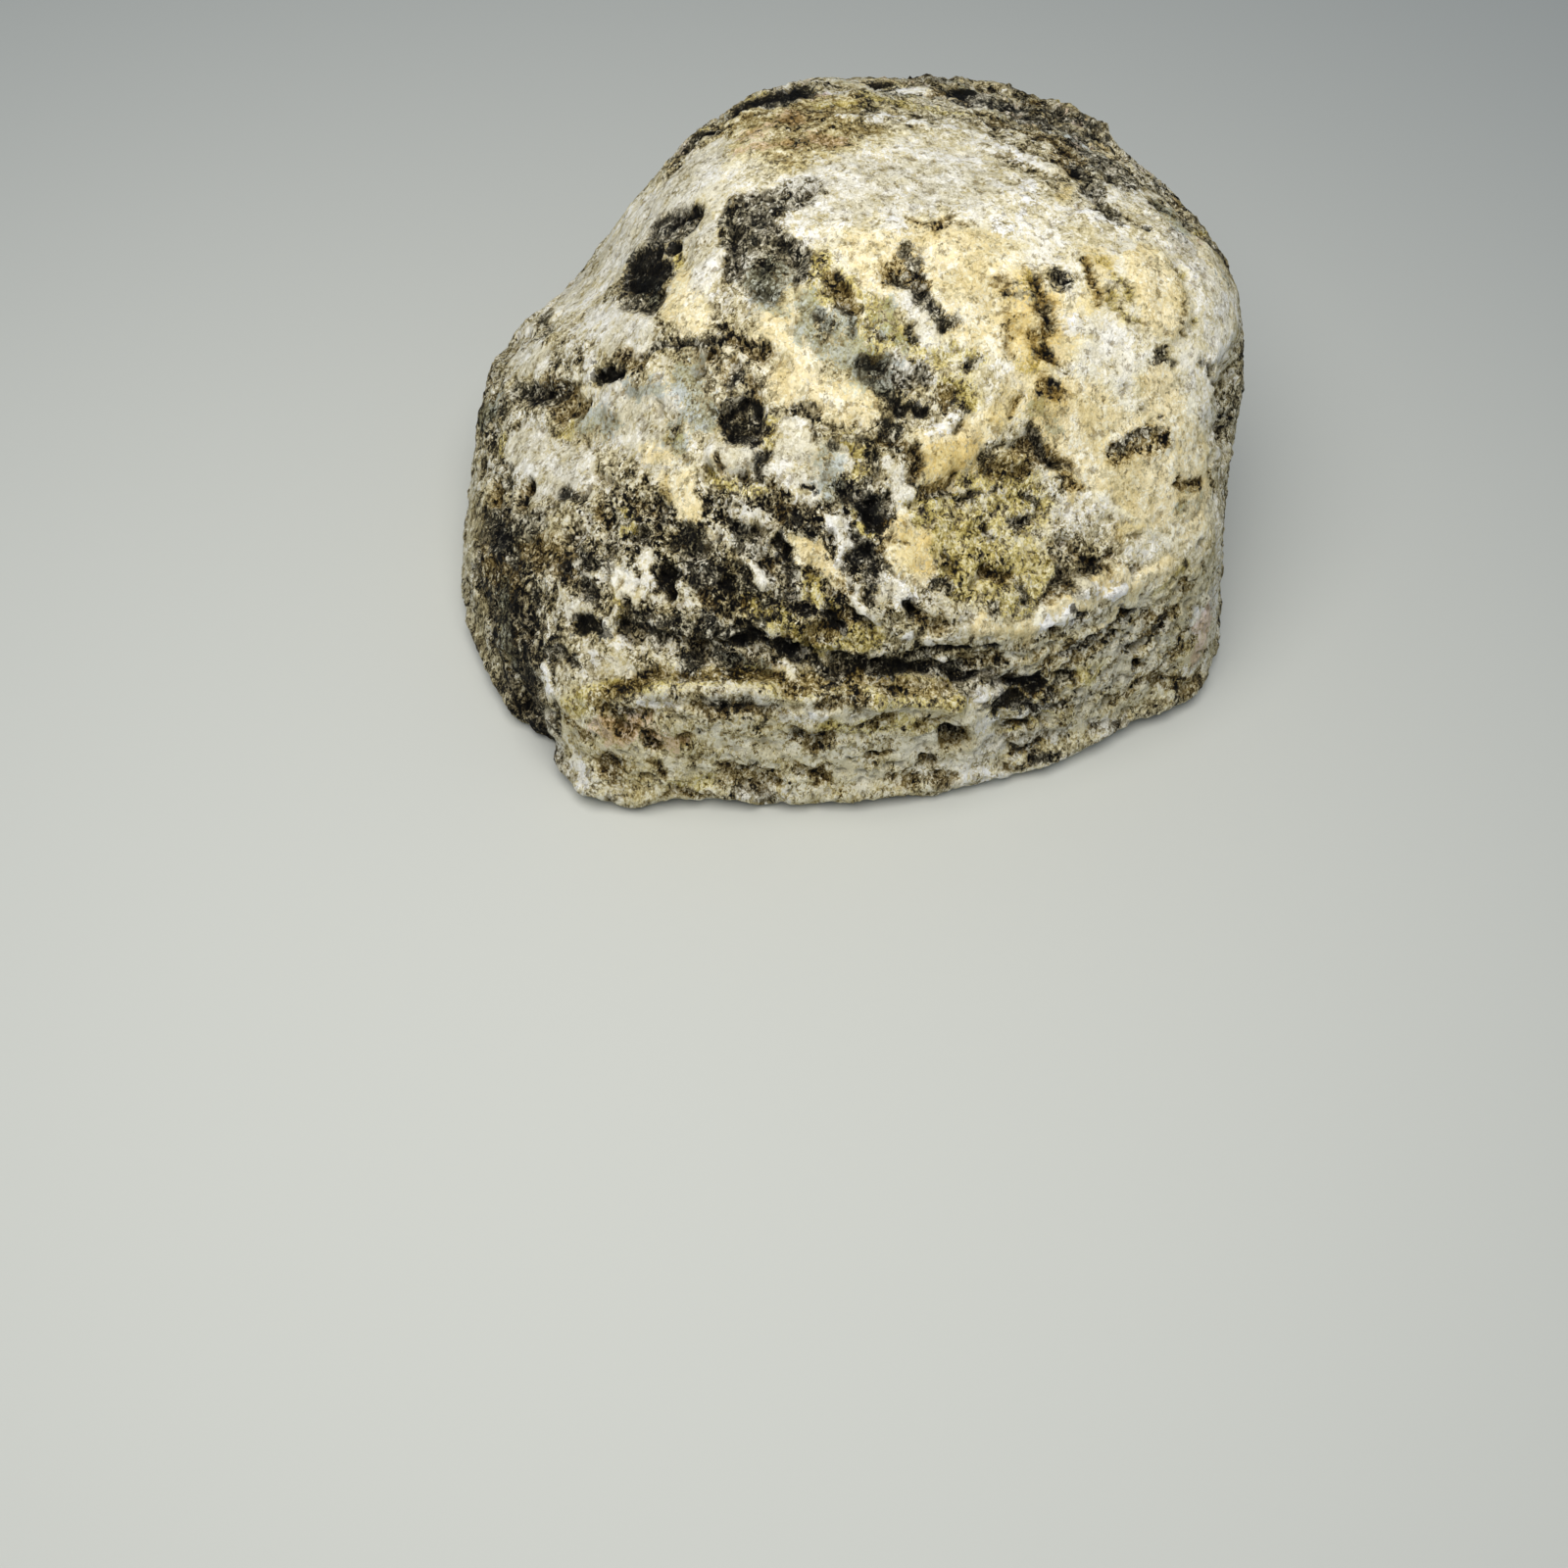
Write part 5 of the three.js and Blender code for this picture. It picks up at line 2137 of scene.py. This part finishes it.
@dataclass
class Floor:
    """The sheet that the stone stands on. Lengths are in metres."""

    half_width: float = 3.0
    gap: float = 0.02 * MM
    finish: FloorFinish = field(default_factory=FloorFinish)

    def build(self) -> bpy.types.Object:
        """Lays the sheet.

        Returns:
            The sheet.
        """
        reach = self.half_width
        corners = [(-reach, -reach), (reach, -reach), (reach, reach), (-reach, reach)]
        mesh = bpy.data.meshes.new("floor")
        mesh.from_pydata([(x, y, -self.gap) for x, y in corners], [], [(0, 1, 2, 3)])
        mesh.materials.append(self.finish.material())
        sheet = bpy.data.objects.new("floor", mesh)
        bpy.context.scene.collection.objects.link(sheet)
        return sheet


@dataclass
class Studio:
    """A large soft lamp overhead and cool light all round. Lengths are in metres."""

    key_place: tuple[float, float, float] = (-0.03, -0.085, 0.24)
    key_size: float = 0.22
    key_power: float = 0.655
    key_colour: tuple[float, float, float] = (1.0, 0.965, 0.9)
    sky_colour: tuple[float, float, float] = (0.72, 0.84, 1.0)
    sky_strength: float = 0.285
    aim: tuple[float, float, float] = (0.0, 0.0, 0.02)

    def build(self) -> None:
        """Hangs the lamp and sets the sky."""
        lamp = bpy.data.lights.new("softbox", "AREA")
        lamp.shape = "DISK"
        lamp.size = self.key_size
        lamp.energy = self.key_power
        lamp.color = self.key_colour
        key = bpy.data.objects.new("softbox", lamp)
        key.location = self.key_place
        way = Vector(self.aim) - key.location
        key.rotation_euler = way.to_track_quat("-Z", "Y").to_euler()
        bpy.context.scene.collection.objects.link(key)
        world = bpy.data.worlds.new("studio")
        world.use_nodes = True
        sky = world.node_tree.nodes["Background"]
        sky.inputs["Color"].default_value = (*self.sky_colour, 1.0)
        sky.inputs["Strength"].default_value = self.sky_strength
        bpy.context.scene.world = world
        bpy.context.scene.view_settings.view_transform = "Standard"


@dataclass
class Viewpoint:
    """The camera, looking down on the front of the stone.

    The place, lens and sensor are in millimetres, and the tilt and roll in degrees. The
    near and far ends of what it sees are in metres.
    """

    place: tuple[float, float, float] = (-4.3, -134.31, 139.0)
    tilt: float = 34.94
    roll: float = 5.8
    lens: float = 36.045
    sensor: float = 36.0
    near: float = 0.01
    far: float = 20.0

    def build(self) -> bpy.types.Object:
        """Places the camera.

        Returns:
            The camera.
        """
        data = bpy.data.cameras.new("camera")
        data.sensor_width = self.sensor
        data.lens = self.lens
        data.clip_start = self.near
        data.clip_end = self.far
        camera = bpy.data.objects.new("camera", data)
        place = Matrix.Translation(Vector(self.place) * MM)
        tilt = Matrix.Rotation(math.radians(self.tilt), 4, "X")
        roll = Matrix.Rotation(math.radians(self.roll), 4, "Z")
        camera.matrix_world = place @ tilt @ roll
        bpy.context.scene.collection.objects.link(camera)
        bpy.context.scene.camera = camera
        return camera


def main() -> None:
    """Builds the stage and the stone, and says what was made."""
    logging.basicConfig(level=logging.INFO, format="%(name)s: %(message)s")
    Viewpoint().build()
    Studio().build()
    Floor().build()
    piece = Nodule().build()
    mesh = piece.data
    LOG.info("%s: %d points, %d faces", piece.name, len(mesh.vertices), len(mesh.polygons))


if __name__ == "__main__":
    main()
